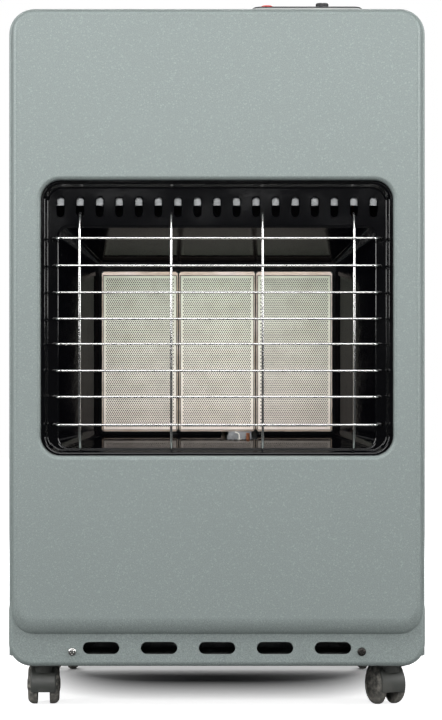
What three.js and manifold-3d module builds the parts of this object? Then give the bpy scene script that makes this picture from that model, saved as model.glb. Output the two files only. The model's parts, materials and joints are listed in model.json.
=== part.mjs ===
// A portable gas cabinet heater, free-standing on four twin-wheel castors.
// Millimetres, +Z up. X is to the right as seen from the front, the front faces -Y and
// the origin is on the floor under the middle of the cabinet.
// Depths are counted from the raised face of the front panel (0) towards the rear, and
// the whole model is moved at the end so that the origin lies under its middle.

import * as THREE from "three";
import { mergeVertices } from "three/addons/utils/BufferGeometryUtils.js";
import Module from "manifold-3d";

const wasm = await Module();
wasm.setup();

// ---------- driving dimensions ----------

const SHEET = 1.0;              // cabinet sheet steel
const FIT = 0.3;                // gap between two pieces that touch
const RUN = 0.4;                // gap round a piece that turns or slides
const OVERCUT = 1;              // how far a cutter reaches past the face it opens
const GRID = 1e-4;              // places are rounded to this, so that faces meant to be flush are
const HAIR = 0.01;              // the same for a tapered cutter, whose width there counts

const PANEL_HALF_WIDTH = 209.5;
const PANEL_TOP = 713.7;
const PANEL_BELOW_BASE = 5.6;   // the front panel hangs this far below the base
const PANEL_CORNER = 23;
const PANEL_EDGE_ROUND = 7;     // rounding from the raised face to the side flange
const PANEL_DEPTH = 23;         // depth of the side flange
const STEP_HEIGHT = 29.9;       // the recessed band ends this far above the panel's lower edge
const STEP_FALL = 17.4;         // height over which the raised face falls back to the band
const BAND_SETBACK = 9;         // the recessed band lies this far behind the raised face
const BAND_EDGE_ROUND = 5;
const SLOT_COUNT = 5;
const SLOT_PITCH = 59.1;
const SLOT_LENGTH = 37.3;
const SLOT_HEIGHT = 12.4;
const SLOT_ABOVE_EDGE = 17.1;   // slot middle above the panel's lower edge

const WINDOW_HALF_WIDTH = 179.75;
const WINDOW_BOTTOM = 259;
const WINDOW_TOP = 540;
const WINDOW_CORNER = 20;
const WINDOW_ROUND = 4;         // rolled edge of the window
const WINDOW_LIP = 12;          // depth that the rolled lip reaches

const CASE_OVERHANG = 3.5;      // the casing stands this far outside the panel at the sides
const CASE_RISE = 2.8;          // and this far above it
const CASE_BEND = 2.5;
const CASE_ABOVE_BASE = 0.7;    // the casing's sides end this far above the base's underside
const CASE_FRONT_FLANGE = 11;
const CASE_REAR_FLANGE = 16;
const CASE_LENGTH = 308.7;      // front flange face to rear flange face

const BASE_SHEET = 1.2;
const BASE_UPSTAND = 25;
const BASE_LIP = 9;
const CYLINDER_RING_RADIUS = 156;
const CYLINDER_RING_HEIGHT = 3;
const CYLINDER_RING_WIDTH = 4;
const CYLINDER_RING_SLOPE = 1;  // each side of the ring leans by this much

const COVER_INSET = 2;          // gap between the tub and the casing's rear flange
const COVER_CORNER = 18;
const COVER_DEPTH = 92.7;
const COVER_TAPER = 7;
const COVER_EDGE_ROUND = 12;
const COVER_FLANGE = 11;
const COVER_LOUVRES = 6;
const COVER_LOUVRE_PITCH = 52;
const COVER_LOUVRE_LENGTH = 36;
const COVER_LOUVRE_HEIGHT = 7;
const COVER_LOUVRE_INSET = 45.2;
const HOOK_INSET = 9;           // hooks in from the casing's sides
const HOOK_FROM_BOTTOM = 135.2;
const HOOK_FROM_TOP = 108.5;
const HOOK_WIDTH = 8;
const HOOK_LENGTH = 15;
const HOOK_THICKNESS = 1.5;

const SURROUND_OVERLAP = 7.5;   // the flange reaches this far behind the window's edge
const SURROUND_REVEAL = 3;      // width of flange that shows inside the window
const SURROUND_STEP = 4.2;      // the flat band lies this far behind the flange
const STEP_SLOPE = 4;           // the step leans in by this much at the sides and top
const STEP_SLOPE_BOTTOM = 2.3;
const BAND_SIDE = 9.85;         // width of the flat band at the sides
const BAND_LOWER_STRIP = 2.2;
const BAND_VENT_STRIP = 40.4;   // height of the flat band that holds the vents
const MOUTH_CORNER = 11;
const RECESS_DEPTH = 45.2;      // from the band to the rear of the recess
const RECESS_SIDE_MARGIN = 3.7; // between the burner trays and the recess walls
const RECESS_BOTTOM_MARGIN = 3.2;
const RECESS_TOP_MARGIN = 9.9;
const ENAMEL_SHEET = 1.0;

const VENT_COUNT = 17;
const VENT_PITCH = 20;
const VENT_BELOW_BAND_TOP = 19.6;
const VENT_HALF_WIDTH = 3.5;
const VENT_HALF_HEIGHT = 9.9;
const VENT_FLARE = 2.1;         // the pressed rim widens by this much at the front
const VENT_DEPTH = 2.4;

const SHIELD_ABOVE_VENTS = 1.6; // the shield's lower edge above the middle of the vents
const SHIELD_TOP_MARGIN = 7.5;
const SHIELD_SIDE_MARGIN = 6;
const SHIELD_CORNER = 12;
const SHIELD_LIP = 5;           // folded lip along the lower edge
const SHIELD_LIP_INSET = 14;

const WIRE_RADIUS = 1.25;
const WELD_SINK = 0.5;          // crossing wires are welded into each other by this much
const GUARD_PROUD = 5;          // the guard stands this far in front of the raised face
const UPRIGHT_COUNT = 4;
const UPRIGHT_PITCH = 93;
const UPRIGHT_BELOW_VENT = 6.9; // the upper ends enter this far below the middle of the vents
const UPRIGHT_TOP_SLOPE = 16.5; // height of the sloping upper ends
const UPRIGHT_BOTTOM_SLOPE = 19.7;
const CROSS_HEIGHTS = [31.7, 60.1, 86.6, 113.8, 139.4, 166.2, 193.5, 221.3]; // above the window's edge
const CROSS_SLOPE = 6;          // sideways reach of the sloping ends
const WIRE_BEND = 6;
const WIRE_TAIL = 3;            // hooked ends reach this far behind the enamelled sheet

const PLAQUE_WIDTH = 76;
const PLAQUE_THICKNESS = 13;
const PLAQUE_BOTTOM = 284;
const PLAQUE_TOP = 444.3;
const PLAQUE_PITCH = 80;
const PLAQUE_AHEAD = 4.7;       // plaque faces in front of the recess's rear edge
const PLAQUE_EDGE = 3;          // unperforated margin
const PLAQUE_RECESS = 0.4;      // the perforated field lies this far below the margin

const BURNER_WALL = 1.0;
const BURNER_TOP_RIM = 3.5;
const BURNER_SETBACK = 1.8;     // the tray rim lies this far behind the plaque face
const PLENUM_DEPTH = 24;
const VENTURI_RADIUS = 9;
const VENTURI_WALL = 1.0;
const VENTURI_LENGTH = 22;
const VENTURI_MOUTH_RADIUS = 12;
const VENTURI_MOUTH_RIM = 1.5;
const VENTURI_MOUTH_LENGTH = 7;
const TRAY_CORNER = 2;
const TRAY_REAR_CHAMFER = 3;
const VENTURI_OFFSET = 12;      // venturi axis in front of the rear of the tray

const BULKHEAD_CLEARANCE = 5.7; // below the valve and the igniter
const BULKHEAD_FLANGE = 14;

const INJECTOR_RADIUS = 4;
const INJECTOR_ENTRY = 3;       // the jet reaches this far into the venturi mouth
const JET_NOSE = 4;
const JET_NOSE_RADIUS = 1.5;
const RAIL_RADIUS = 6;
const RAIL_BELOW_VENTURI = 32.7;
const CENTRE_BLOCK = 14;
const CENTRE_BLOCK_DROP = 6;    // block top below the tip of its jet
const FOOT_SHEET = 2;
const FOOT_ARM = 10;
const FOOT_WIDTH = 18;
const FOOT_RISE = 9;

const PIPE_RADIUS = 3;
const THIN_PIPE_RADIUS = 2;
const LEAD_RADIUS = 1.4;
const PIPE_BEND = 12;
const IGNITION_LANE = 7.7;      // each run comes down this far to the right of the burners
const PILOT_LANE = 14.7;
const PROBE_LANE = 21.7;
const CENTRE_LANE = 29.7;
const SIDE_LANE = 38.7;
const IGNITION_BEHIND = 4.3;    // and this far behind the rear edge of the recess
const PILOT_BEHIND = 2.3;
const PROBE_BEHIND = 6.3;
const CENTRE_BEHIND = 12.3;
const SIDE_BEHIND = 18.3;
const PILOT_RUN_DROP = 4;       // level runs below the foot of the pilot burner
const PROBE_RUN_DROP = 10;
const CENTRE_RUN_DROP = 17;
const PILOT_RUN_BEHIND = 5;     // and behind or ahead of its axis
const PROBE_RUN_BEHIND = 10;
const IGNITION_RUN_AHEAD = 8;

const CONSOLE_FROM_SIDE = 63;   // console in from the casing's right side
const CONSOLE_WIDTH = 114;
const CONSOLE_FRONT = 34;
const CONSOLE_DEPTH = 82;
const CONSOLE_RISE = 3.8;
const CONSOLE_BEVEL = 3;
const CONSOLE_WALL = 2;
const CONSOLE_SKIRT = 8;
const CONSOLE_EDGE = 0.2;       // upright stretch under the bevel
const CONSOLE_CORNER = 9;
const CONSOLE_SKIRT_CORNER = 4;
const KNOB_FROM_RIGHT = 41;
const KNOB_SETBACK = 39;        // knob and button behind the console's front edge
const KNOB_RADIUS = 19;
const KNOB_WELL_MARGIN = 2.5;
const KNOB_WELL_DEPTH = 9;
const KNOB_TRAVEL = 5;
const KNOB_DISC_HEIGHT = 4;
const KNOB_CHAMFER = 1.2;
const GRIP_WIDTH = 12;
const GRIP_CORNER = 5;
const GRIP_EDGE = 1;
const GRIP_SKIN = 4;            // plastic left above the spindle
const GRIP_RISE = 9.4;          // top of the grip bar above the console
const SPINDLE_RADIUS = 4;
const COLLAR_RADIUS = 7;
const COLLAR_HEIGHT = 3;
const BUTTON_FROM_LEFT = 16;
const BUTTON_RADIUS = 6;
const BUTTON_TRAVEL = 6;
const BUTTON_RISE = 4.6;
const BUTTON_STEM_RADIUS = 4;
const BUTTON_GUIDE_WALL = 3.5;
const BUTTON_EDGE = 1.2;
const IGNITER_RADIUS = 9;
const IGNITER_LENGTH = 48;
const IGNITER_SHOULDER = 2;     // the igniter is this much wider below the bracket
const IGNITER_TERMINAL_RADIUS = 3;
const IGNITER_TERMINAL = 6;
const IGNITER_STROKE_ROOM = 6;  // the button's stem enters the igniter by this much

const BRACKET_SHEET = 1.5;
const BRACKET_DROP = 20;        // bracket plate below the casing top
const BRACKET_LEFT_OF_BUTTON = 22;
const BRACKET_RIGHT_OF_KNOB = 43;
const BRACKET_AHEAD = 29;       // in front of the knob's axis
const BRACKET_BEHIND = 31;
const BRACKET_FOOT = 9;

const VALVE_HALF_WIDTH = 20;
const VALVE_HALF_DEPTH = 15;
const VALVE_HEIGHT = 42;
const VALVE_NECK_RADIUS = 10;
const VALVE_NECK_HEIGHT = 6;
const VALVE_CORNER = 5;
const OUTLET_COUNT = 4;
const OUTLET_PITCH = 9.5;
const OUTLET_RADIUS = 4;
const OUTLET_LENGTH = 4;
const INLET_RADIUS = 8;
const INLET_LENGTH = 5;
const SPINDLE_ENTRY = 8;        // the spindle reaches this far into the valve
const NOZZLE_RADIUS = 5;
const NOZZLE_BORE = 2.5;
const NOZZLE_LENGTH = 34;
const NOZZLE_COLLAR_RADIUS = 7;
const NOZZLE_COLLAR = 7;
const NOZZLE_NECK = 12;
const NOZZLE_BARBS = 3;

const SCREW_INSET = 61.9;       // screws in from the panel's sides
const SCREW_ABOVE_EDGE = 13;    // and above its lower edge
const SCREW_HEAD_RADIUS = 4;
const SCREW_HEAD_HEIGHT = 2.4;
const SCREW_SHANK_RADIUS = 1.8;
const SCREW_LENGTH = 9;
const SCREW_POINT = 2;
const SCREW_CROSS = 4.4;        // length of each arm of the cross recess
const SCREW_CROSS_WIDTH = 1;
const SCREW_CROSS_DEPTH = 1.2;
const TAB_HALF_WIDTH = 8;
const TAB_ABOVE_SCREW = 7.3;

const PILOT_X = 14;
const PILOT_PITCH = 9;
const PILOT_AHEAD = 5;          // pilot in front of the plaque faces
const PILOT_HEAD_RADIUS = 3.6;
const PILOT_BELOW_TRAY = 3.7;
const PILOT_LENGTH = 25;
const PILOT_PORT = 2.4;
const PILOT_PORT_DEPTH = 3;
const PILOT_PLATE = 2;
const PILOT_SHELF_AHEAD = 5;    // the bracket's shelf in front of the pilot's axis
const PILOT_WEB_BEHIND = 8;
const PILOT_SHELF_RISE = 8;
const ELECTRODE_RADIUS = 2.5;
const ELECTRODE_WIRE_RADIUS = 0.8;
const ELECTRODE_REACH = 4.5;    // the bent tip reaches this far over the pilot
const PROBE_RADIUS = 2;
const PILOT_CUT_MARGIN = 6;

const CASTOR_INSET = 33.7;      // swivel axes in from the casing's sides
const CASTOR_FRONT = 48;
const CASTOR_REAR_INSET = 51;
const CASTOR_TRAIL = 14;
const WHEEL_RADIUS = 20.5;
const WHEEL_INNER = 6.3;
const WHEEL_OUTER = 17.5;
const WHEEL_TREAD_END = 11;     // the tread ends and the domed side starts here
const WHEEL_DOME_RADIUS = 17.5;
const WHEEL_DOME_FALL = 2;
const HUB_RADIUS = 7;
const HUB_RIM = 1.5;
const HUB_RISE = 1.2;
const WHEEL_ROOM = 0.7;         // turning room round the tread
const HOOD_GAP = 0.9;           // the hood's inside lies this far off the tread
const HOOD_WALL = 2;
const HOOD_HALF_WIDTH = 13;
const HOOD_WEB = 6;             // half thickness of the web between the wheels
const HOOD_FRONT_ANGLE = -16;
const HOOD_REAR_ANGLE = 150;
const WEB_FRONT_ANGLE = 10;
const SHOULDER_RADIUS = 9;
const SHOULDER_ABOVE_AXLE = 14;
const NECK_RADIUS = 5.3;
const NECK_LENGTH = 3.4;        // between the hood and the socket
const STEM_RADIUS = 4;
const AXLE_RADIUS = 3;
const AXLE_BOSS_WALL = 3;
const AXLE_CAP = 3;             // wheel wall left outside the axle's end
const SOCKET_HEIGHT = 5.4;
const SOCKET_PLATE = 2.5;
const SOCKET_HALF_WIDTH = 19;
const SOCKET_RADIUS = 9;
const SOCKET_CORNER = 4;

const CORNER_STEPS = 4;         // facets on each corner of a pressed piece
const ROUND_STEPS = 3;          // facets across a pressed edge

// ---------- places worked out from the sizes ----------

const HOOD_RADIUS = WHEEL_RADIUS + HOOD_GAP + HOOD_WALL;
const HOOD_TOP = WHEEL_RADIUS + HOOD_RADIUS;
const SOCKET_BOTTOM = HOOD_TOP + NECK_LENGTH + FIT;
const SOCKET_TOP = SOCKET_BOTTOM + SOCKET_HEIGHT;

const BASE_BOTTOM = SOCKET_TOP + FIT;
const BASE_TOP = BASE_BOTTOM + BASE_SHEET;
const PANEL_BOTTOM = BASE_BOTTOM - PANEL_BELOW_BASE;
const STEP_BOTTOM = PANEL_BOTTOM + STEP_HEIGHT;
const STEP_TOP = STEP_BOTTOM + STEP_FALL;
const SLOT_LEVEL = PANEL_BOTTOM + SLOT_ABOVE_EDGE;
const SCREW_X = PANEL_HALF_WIDTH - SCREW_INSET;
const SCREW_LEVEL = PANEL_BOTTOM + SCREW_ABOVE_EDGE;
const TAB_TOP = SCREW_LEVEL + TAB_ABOVE_SCREW;

const CASE_HALF_WIDTH = PANEL_HALF_WIDTH + CASE_OVERHANG;
const CASE_TOP = PANEL_TOP + CASE_RISE;
const CASE_BOTTOM = BASE_BOTTOM + CASE_ABOVE_BASE;
const CASE_CORNER = PANEL_CORNER + CASE_RISE;
const CASE_FRONT = PANEL_DEPTH + FIT;
const CASE_REAR = CASE_FRONT + CASE_LENGTH;
const CASE_INSIDE = CASE_HALF_WIDTH - SHEET;
const CASE_CEILING = CASE_TOP - SHEET;

const COVER_FRONT = CASE_REAR + FIT;
const COVER_REAR = COVER_FRONT + COVER_DEPTH;
const COVER_HALF_WIDTH = CASE_HALF_WIDTH - CASE_REAR_FLANGE - COVER_INSET;
const COVER_TOP = CASE_TOP - CASE_REAR_FLANGE - COVER_INSET;
const COVER_BOTTOM = BASE_TOP + FIT;
const MIDDLE = (COVER_REAR - GUARD_PROUD) / 2;

const BASE_HALF_WIDTH = CASE_INSIDE - FIT;
const BASE_FRONT = CASE_FRONT + CASE_BEND + FIT;
const BASE_SIDE_END = CASE_REAR - CASE_BEND - FIT;
const BASE_REAR = COVER_REAR;
const BASE_REAR_HALF_WIDTH = CASE_HALF_WIDTH - CASE_REAR_FLANGE - FIT;
const CASTOR_X = CASE_HALF_WIDTH - CASTOR_INSET;
const CASTOR_REAR = COVER_REAR - CASTOR_REAR_INSET;

const FLANGE_FACE = WINDOW_LIP + FIT;
const BAND_FACE = FLANGE_FACE + SURROUND_STEP;
const RECESS_REAR = BAND_FACE + RECESS_DEPTH;
const BAND_HALF_WIDTH = WINDOW_HALF_WIDTH - SURROUND_REVEAL - STEP_SLOPE;
const BAND_BOTTOM = WINDOW_BOTTOM + SURROUND_REVEAL + STEP_SLOPE_BOTTOM;
const BAND_TOP = WINDOW_TOP - SURROUND_REVEAL - STEP_SLOPE;
const MOUTH_HALF_WIDTH = BAND_HALF_WIDTH - BAND_SIDE;
const MOUTH_BOTTOM = BAND_BOTTOM + BAND_LOWER_STRIP;
const MOUTH_TOP = BAND_TOP - BAND_VENT_STRIP;
const VENT_LEVEL = BAND_TOP - VENT_BELOW_BAND_TOP;

const SHIELD_BOTTOM = VENT_LEVEL + SHIELD_ABOVE_VENTS;
const SHIELD_TOP = CASE_CEILING - SHIELD_TOP_MARGIN;
const SHIELD_HALF_WIDTH = CASE_INSIDE - SHIELD_SIDE_MARGIN;

const CROSS_LEVELS = CROSS_HEIGHTS.map((height) => WINDOW_BOTTOM + height);
const CROSS_HOOK = (BAND_HALF_WIDTH + MOUTH_HALF_WIDTH) / 2;
const CROSS_DEPTH = WIRE_RADIUS - GUARD_PROUD;
const UPRIGHT_DEPTH = CROSS_DEPTH + 2 * WIRE_RADIUS - WELD_SINK;
const UPRIGHT_HOOK_BOTTOM = BAND_BOTTOM + WIRE_RADIUS + FIT;
const UPRIGHT_HOOK_TOP = VENT_LEVEL - UPRIGHT_BELOW_VENT;
const WIRE_TAIL_END = BAND_FACE + ENAMEL_SHEET + WIRE_TAIL;

const PLAQUE_FRONT = RECESS_REAR - PLAQUE_AHEAD;
const PLAQUE_REAR = PLAQUE_FRONT + PLAQUE_THICKNESS;
const BURNER_FRONT = PLAQUE_FRONT + BURNER_SETBACK;
const BURNER_HALF_WIDTH = PLAQUE_WIDTH / 2 + FIT + BURNER_WALL;
const BURNER_BOTTOM = PLAQUE_BOTTOM - FIT - BURNER_WALL;
const BURNER_TOP = PLAQUE_TOP + FIT + BURNER_TOP_RIM;
const BURNER_REAR = PLAQUE_REAR + FIT + PLENUM_DEPTH;
const BURNERS_HALF_WIDTH = PLAQUE_PITCH + BURNER_HALF_WIDTH;
const BULKHEAD_FRONT = BURNER_REAR + FIT;
const VENTURI_Y = BURNER_REAR - VENTURI_OFFSET;
const VENTURI_END = BURNER_BOTTOM - VENTURI_LENGTH;
const JET_TIP = VENTURI_END + INJECTOR_ENTRY;
const RAIL_LEVEL = VENTURI_END - RAIL_BELOW_VENTURI;

const PILOT_Y = PLAQUE_FRONT - PILOT_AHEAD;
const PILOT_TIP = BURNER_BOTTOM - PILOT_BELOW_TRAY;
const PILOT_BASE = PILOT_TIP - PILOT_LENGTH;
const ELECTRODE_X = PILOT_X + PILOT_PITCH;
const PROBE_X = ELECTRODE_X + PILOT_PITCH;

const CONSOLE_RIGHT = CASE_HALF_WIDTH - CONSOLE_FROM_SIDE;
const CONSOLE_LEFT = CONSOLE_RIGHT - CONSOLE_WIDTH;
const CONSOLE_REAR = CONSOLE_FRONT + CONSOLE_DEPTH;
const CONSOLE_BOTTOM = CASE_TOP + FIT;
const CONSOLE_TOP = CONSOLE_BOTTOM + CONSOLE_RISE;
const KNOB_X = CONSOLE_RIGHT - KNOB_FROM_RIGHT;
const BUTTON_X = CONSOLE_LEFT + BUTTON_FROM_LEFT;
const KNOB_Y = CONSOLE_FRONT + KNOB_SETBACK;
const WELL_FLOOR = CONSOLE_TOP - KNOB_WELL_DEPTH;
const KNOB_BOTTOM = WELL_FLOOR + KNOB_TRAVEL + RUN;
const KNOB_TOP = CONSOLE_TOP + GRIP_RISE;
const BRACKET_LEFT = BUTTON_X - BRACKET_LEFT_OF_BUTTON;
const BRACKET_RIGHT = KNOB_X + BRACKET_RIGHT_OF_KNOB;
const BRACKET_FRONT = KNOB_Y - BRACKET_AHEAD;
const BRACKET_REAR = KNOB_Y + BRACKET_BEHIND;
const BRACKET_TOP = CASE_CEILING - BRACKET_DROP;
const BRACKET_BOTTOM = BRACKET_TOP - BRACKET_SHEET;
const VALVE_TOP = BRACKET_BOTTOM - FIT;
const VALVE_BOTTOM = VALVE_TOP - VALVE_HEIGHT;
const NECK_TOP = BRACKET_TOP + VALVE_NECK_HEIGHT;
const COLLAR_BOTTOM = NECK_TOP + KNOB_TRAVEL + RUN;
const SPINDLE_LOW = VALVE_TOP - SPINDLE_ENTRY;
const INLET_LEVEL = VALVE_TOP - VALVE_HEIGHT / 2;
const OUTLET_BOTTOM = VALVE_BOTTOM - OUTLET_LENGTH;
const IGNITER_TOP = CONSOLE_BOTTOM - CONSOLE_SKIRT - FIT;
const IGNITER_BOTTOM = BRACKET_BOTTOM - FIT - IGNITER_LENGTH;
const BUTTON_STEM_END = IGNITER_TOP - IGNITER_STROKE_ROOM;
const BULKHEAD_TOP = Math.min(VALVE_BOTTOM, IGNITER_BOTTOM) - BULKHEAD_CLEARANCE;

// ---------- solids ----------

function solidOf(geometry) {
  const bare = geometry.clone();
  bare.deleteAttribute("normal");
  bare.deleteAttribute("uv");
  const merged = mergeVertices(bare, 1e-4);
  const faces = Array.from(merged.index.array);
  const inward = volumeOf(merged.attributes.position, faces) < 0;
  const mesh = new wasm.Mesh({
    numProp: 3,
    vertProperties: merged.attributes.position.array.map((value) => Math.round(value / GRID) * GRID),
    triVerts: new Uint32Array(inward ? faces.reverse() : faces),
  });
  return new wasm.Manifold(mesh);
}

function volumeOf(positions, faces) {
  const corner = (i) => new THREE.Vector3().fromBufferAttribute(positions, faces[i]);
  let volume = 0;
  for (let i = 0; i < faces.length; i += 3) {
    volume += corner(i).dot(corner(i + 1).cross(corner(i + 2))) / 6;
  }
  return volume;
}

function geometryOf(solid) {
  const mesh = solid.getMesh();
  const geometry = new THREE.BufferGeometry();
  geometry.setAttribute("position", new THREE.BufferAttribute(mesh.vertProperties, 3));
  geometry.setIndex(new THREE.BufferAttribute(mesh.triVerts, 1));
  geometry.computeVertexNormals();
  return geometry;
}

function joined(...solids) {
  return solids.reduce((whole, next) => whole.add(next));
}

function less(solid, ...cutters) {
  return cutters.reduce((whole, next) => whole.subtract(next), solid);
}

function block(x0, x1, y0, y1, z0, z1) {
  const box = new THREE.BoxGeometry(x1 - x0, y1 - y0, z1 - z0);
  box.translate((x0 + x1) / 2, (y0 + y1) / 2, (z0 + z1) / 2);
  return solidOf(box);
}

// A round bar from one point to another.
function rod(from, to, radius, sides = 16, endRadius = radius) {
  const start = new THREE.Vector3(...from);
  const along = new THREE.Vector3(...to).sub(start);
  const bar = new THREE.CylinderGeometry(endRadius, radius, along.length(), sides);
  bar.translate(0, along.length() / 2, 0);
  const up = new THREE.Vector3(0, 1, 0);
  const turn = new THREE.Quaternion().setFromUnitVectors(up, along.clone().normalize());
  bar.applyQuaternion(turn);
  bar.translate(start.x, start.y, start.z);
  return solidOf(bar);
}

// A turned piece: profile points are [radius, height], the axis stands along Z.
function turned(profile, sides = 24) {
  const points = profile.map(([radius, height]) => new THREE.Vector2(radius, height));
  const lathe = new THREE.LatheGeometry(points, sides);
  lathe.rotateX(Math.PI / 2);
  return solidOf(lathe);
}

// An outline drawn in X and Z, given thickness from y0 to y1.
function slabXZ(shape, y0, y1, curveSegments = 8) {
  const options = { depth: y1 - y0, bevelEnabled: false, curveSegments };
  const slab = new THREE.ExtrudeGeometry(shape, options);
  slab.rotateX(Math.PI / 2);
  slab.translate(0, y1, 0);
  return solidOf(slab);
}

// An outline drawn in X and Y, given height from z0 to z1.
function slabXY(shape, z0, z1, curveSegments = 8) {
  const options = { depth: z1 - z0, bevelEnabled: false, curveSegments };
  const slab = new THREE.ExtrudeGeometry(shape, options);
  slab.translate(0, 0, z0);
  return solidOf(slab);
}

// An outline drawn in Y and Z, given width from x0 to x1.
function slabYZ(shape, x0, x1, curveSegments = 8) {
  const options = { depth: x1 - x0, bevelEnabled: false, curveSegments };
  const slab = new THREE.ExtrudeGeometry(shape, options);
  slab.rotateY(Math.PI / 2);
  slab.rotateX(Math.PI / 2);
  slab.translate(x0, 0, 0);
  return solidOf(slab);
}

function roundedShape(left, right, low, high, radius) {
  const shape = new THREE.Shape();
  const quarter = Math.PI / 2;
  shape.moveTo(left + radius, low);
  shape.absarc(right - radius, low + radius, radius, -quarter, 0);
  shape.absarc(right - radius, high - radius, radius, 0, quarter);
  shape.absarc(left + radius, high - radius, radius, quarter, 2 * quarter);
  shape.absarc(left + radius, low + radius, radius, 2 * quarter, 3 * quarter);
  shape.closePath();
  return shape;
}

function ringShape(outer, inner) {
  const shape = new THREE.Shape();
  shape.absarc(0, 0, outer, 0, 2 * Math.PI);
  const hole = new THREE.Path();
  hole.absarc(0, 0, inner, 0, 2 * Math.PI);
  shape.holes.push(hole);
  return shape;
}

// One closed section of a pressed piece: a rounded rectangle in X and Z at a depth y.
function section({ halfWidth, low, high, corner, y, centre = 0, steps = CORNER_STEPS }) {
  const middles = [
    [halfWidth - corner, low + corner, -90],
    [halfWidth - corner, high - corner, 0],
    [corner - halfWidth, high - corner, 90],
    [corner - halfWidth, low + corner, 180],
  ];
  return middles.flatMap(([x, z, start]) =>
    Array.from({ length: steps + 1 }, (unused, i) => {
      const angle = THREE.MathUtils.degToRad(start + (90 * i) / steps);
      const across = centre + x + corner * Math.cos(angle);
      return new THREE.Vector3(across, y, z + corner * Math.sin(angle));
    })
  );
}

// The same section with its outline moved outwards and its depth moved back.
function moved(ring, outwards, back) {
  return {
    ...ring,
    halfWidth: ring.halfWidth + outwards,
    low: ring.low - outwards,
    high: ring.high + outwards,
    corner: Math.max(ring.corner + outwards, 0.5),
    y: ring.y + back,
  };
}

function skinned(rings, closed) {
  const count = rings[0].length;
  const faces = [];
  const spans = closed ? rings.length : rings.length - 1;
  for (let r = 0; r < spans; r += 1) {
    const here = r * count;
    const next = ((r + 1) % rings.length) * count;
    for (let i = 0; i < count; i += 1) {
      const j = (i + 1) % count;
      faces.push(here + i, here + j, next + j, here + i, next + j, next + i);
    }
  }
  if (!closed) {
    const last = (rings.length - 1) * count;
    for (let i = 1; i < count - 1; i += 1) {
      faces.push(0, i + 1, i, last, last + i, last + i + 1);
    }
  }
  const geometry = new THREE.BufferGeometry();
  const array = rings.flat().flatMap((point) => point.toArray());
  geometry.setAttribute("position", new THREE.Float32BufferAttribute(array, 3));
  geometry.setIndex(faces);
  return solidOf(geometry);
}

// A solid skinned over a row of sections, closed at both ends.
function lofted(rings) {
  return skinned(rings.map(section), false);
}

// A sheet that closes on itself round an opening, from a closed row of sections.
function hoop(rings) {
  return skinned(rings.map(section), true);
}

// A line of straights joined by round bends, in stations that a section is swept along.
class BentLine extends THREE.Curve {
  constructor(corners, bend, bendSteps = 2) {
    super();
    this.stations = BentLine.rounded(corners.map((c) => new THREE.Vector3(...c)), bend, bendSteps);
  }

  static rounded(corners, bend, bendSteps) {
    const stations = [corners[0]];
    for (let i = 1; i < corners.length - 1; i += 1) {
      const before = corners[i - 1].clone().sub(corners[i]);
      const after = corners[i + 1].clone().sub(corners[i]);
      const reach = Math.min(bend, before.length() * 0.45, after.length() * 0.45);
      const start = corners[i].clone().add(before.setLength(reach));
      const end = corners[i].clone().add(after.setLength(reach));
      const arc = new THREE.QuadraticBezierCurve3(start, corners[i], end);
      stations.push(...arc.getPoints(bendSteps));
    }
    stations.push(corners[corners.length - 1]);
    return stations;
  }

  get steps() {
    return this.stations.length - 1;
  }

  getPoint(t, target = new THREE.Vector3()) {
    const place = Math.min(t, 1) * this.steps;
    const index = Math.min(Math.floor(place + 1e-6), this.steps - 1);
    return target.lerpVectors(this.stations[index], this.stations[index + 1], place - index);
  }

  getPointAt(u, target) {
    return this.getPoint(u, target);
  }

  getTangentAt(u, target = new THREE.Vector3()) {
    const index = Math.round(u * this.steps);
    const before = this.stations[Math.max(index - 1, 0)];
    const here = this.stations[index];
    const after = this.stations[Math.min(index + 1, this.steps)];
    const arriving = here.clone().sub(before).normalize();
    const leaving = after.clone().sub(here).normalize();
    return target.copy(arriving).add(leaving).normalize();
  }
}

function bentTube(corners, radius, bend, sides = 6) {
  const line = new BentLine(corners, bend);
  const round = new THREE.Shape();
  for (let i = 0; i < sides; i += 1) {
    const angle = (2 * Math.PI * i) / sides;
    const point = [radius * Math.cos(angle), radius * Math.sin(angle)];
    if (i === 0) round.moveTo(...point);
    else round.lineTo(...point);
  }
  round.closePath();
  const options = { steps: line.steps, extrudePath: line, bevelEnabled: false };
  return solidOf(new THREE.ExtrudeGeometry(round, options));
}

// Evenly spaced places about a middle.
function row(count, pitch, middle = 0) {
  return Array.from({ length: count }, (unused, i) => middle + (i - (count - 1) / 2) * pitch);
}

// ---------- the model ----------

const heater = new THREE.Group();

const FINISHES = {
  powderCoat: { color: 0x8e9997, roughness: 0.45, metalness: 0.35 },
  enamel: { color: 0x0b0b0e, roughness: 0.12, metalness: 0.0 },
  galvanised: { color: 0xa6a9aa, roughness: 0.42, metalness: 0.9 },
  chrome: { color: 0xdedcd4, roughness: 0.18, metalness: 1.0 },
  ceramic: { color: 0xe1ded2, roughness: 0.85, metalness: 0.0 },
  burnerSteel: { color: 0x9c8d88, roughness: 0.4, metalness: 0.85 },
  brass: { color: 0xb49a55, roughness: 0.35, metalness: 0.9 },
  castMetal: { color: 0x9a9c9d, roughness: 0.5, metalness: 0.8 },
  copper: { color: 0xb27a56, roughness: 0.4, metalness: 0.9 },
  blackPlastic: { color: 0x1c1d1e, roughness: 0.5, metalness: 0.0 },
  castorPlastic: { color: 0x242526, roughness: 0.55, metalness: 0.0 },
  redPlastic: { color: 0xb8202a, roughness: 0.35, metalness: 0.0 },
  whiteCeramic: { color: 0xeeeae0, roughness: 0.3, metalness: 0.0 },
  leadRubber: { color: 0x2a2a2c, roughness: 0.7, metalness: 0.0 },
  darkScrew: { color: 0x3b3a39, roughness: 0.4, metalness: 0.8 },
};

const materials = Object.fromEntries(
  Object.entries(FINISHES).map(([name, finish]) => [name, new THREE.MeshStandardMaterial(finish)])
);

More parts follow.
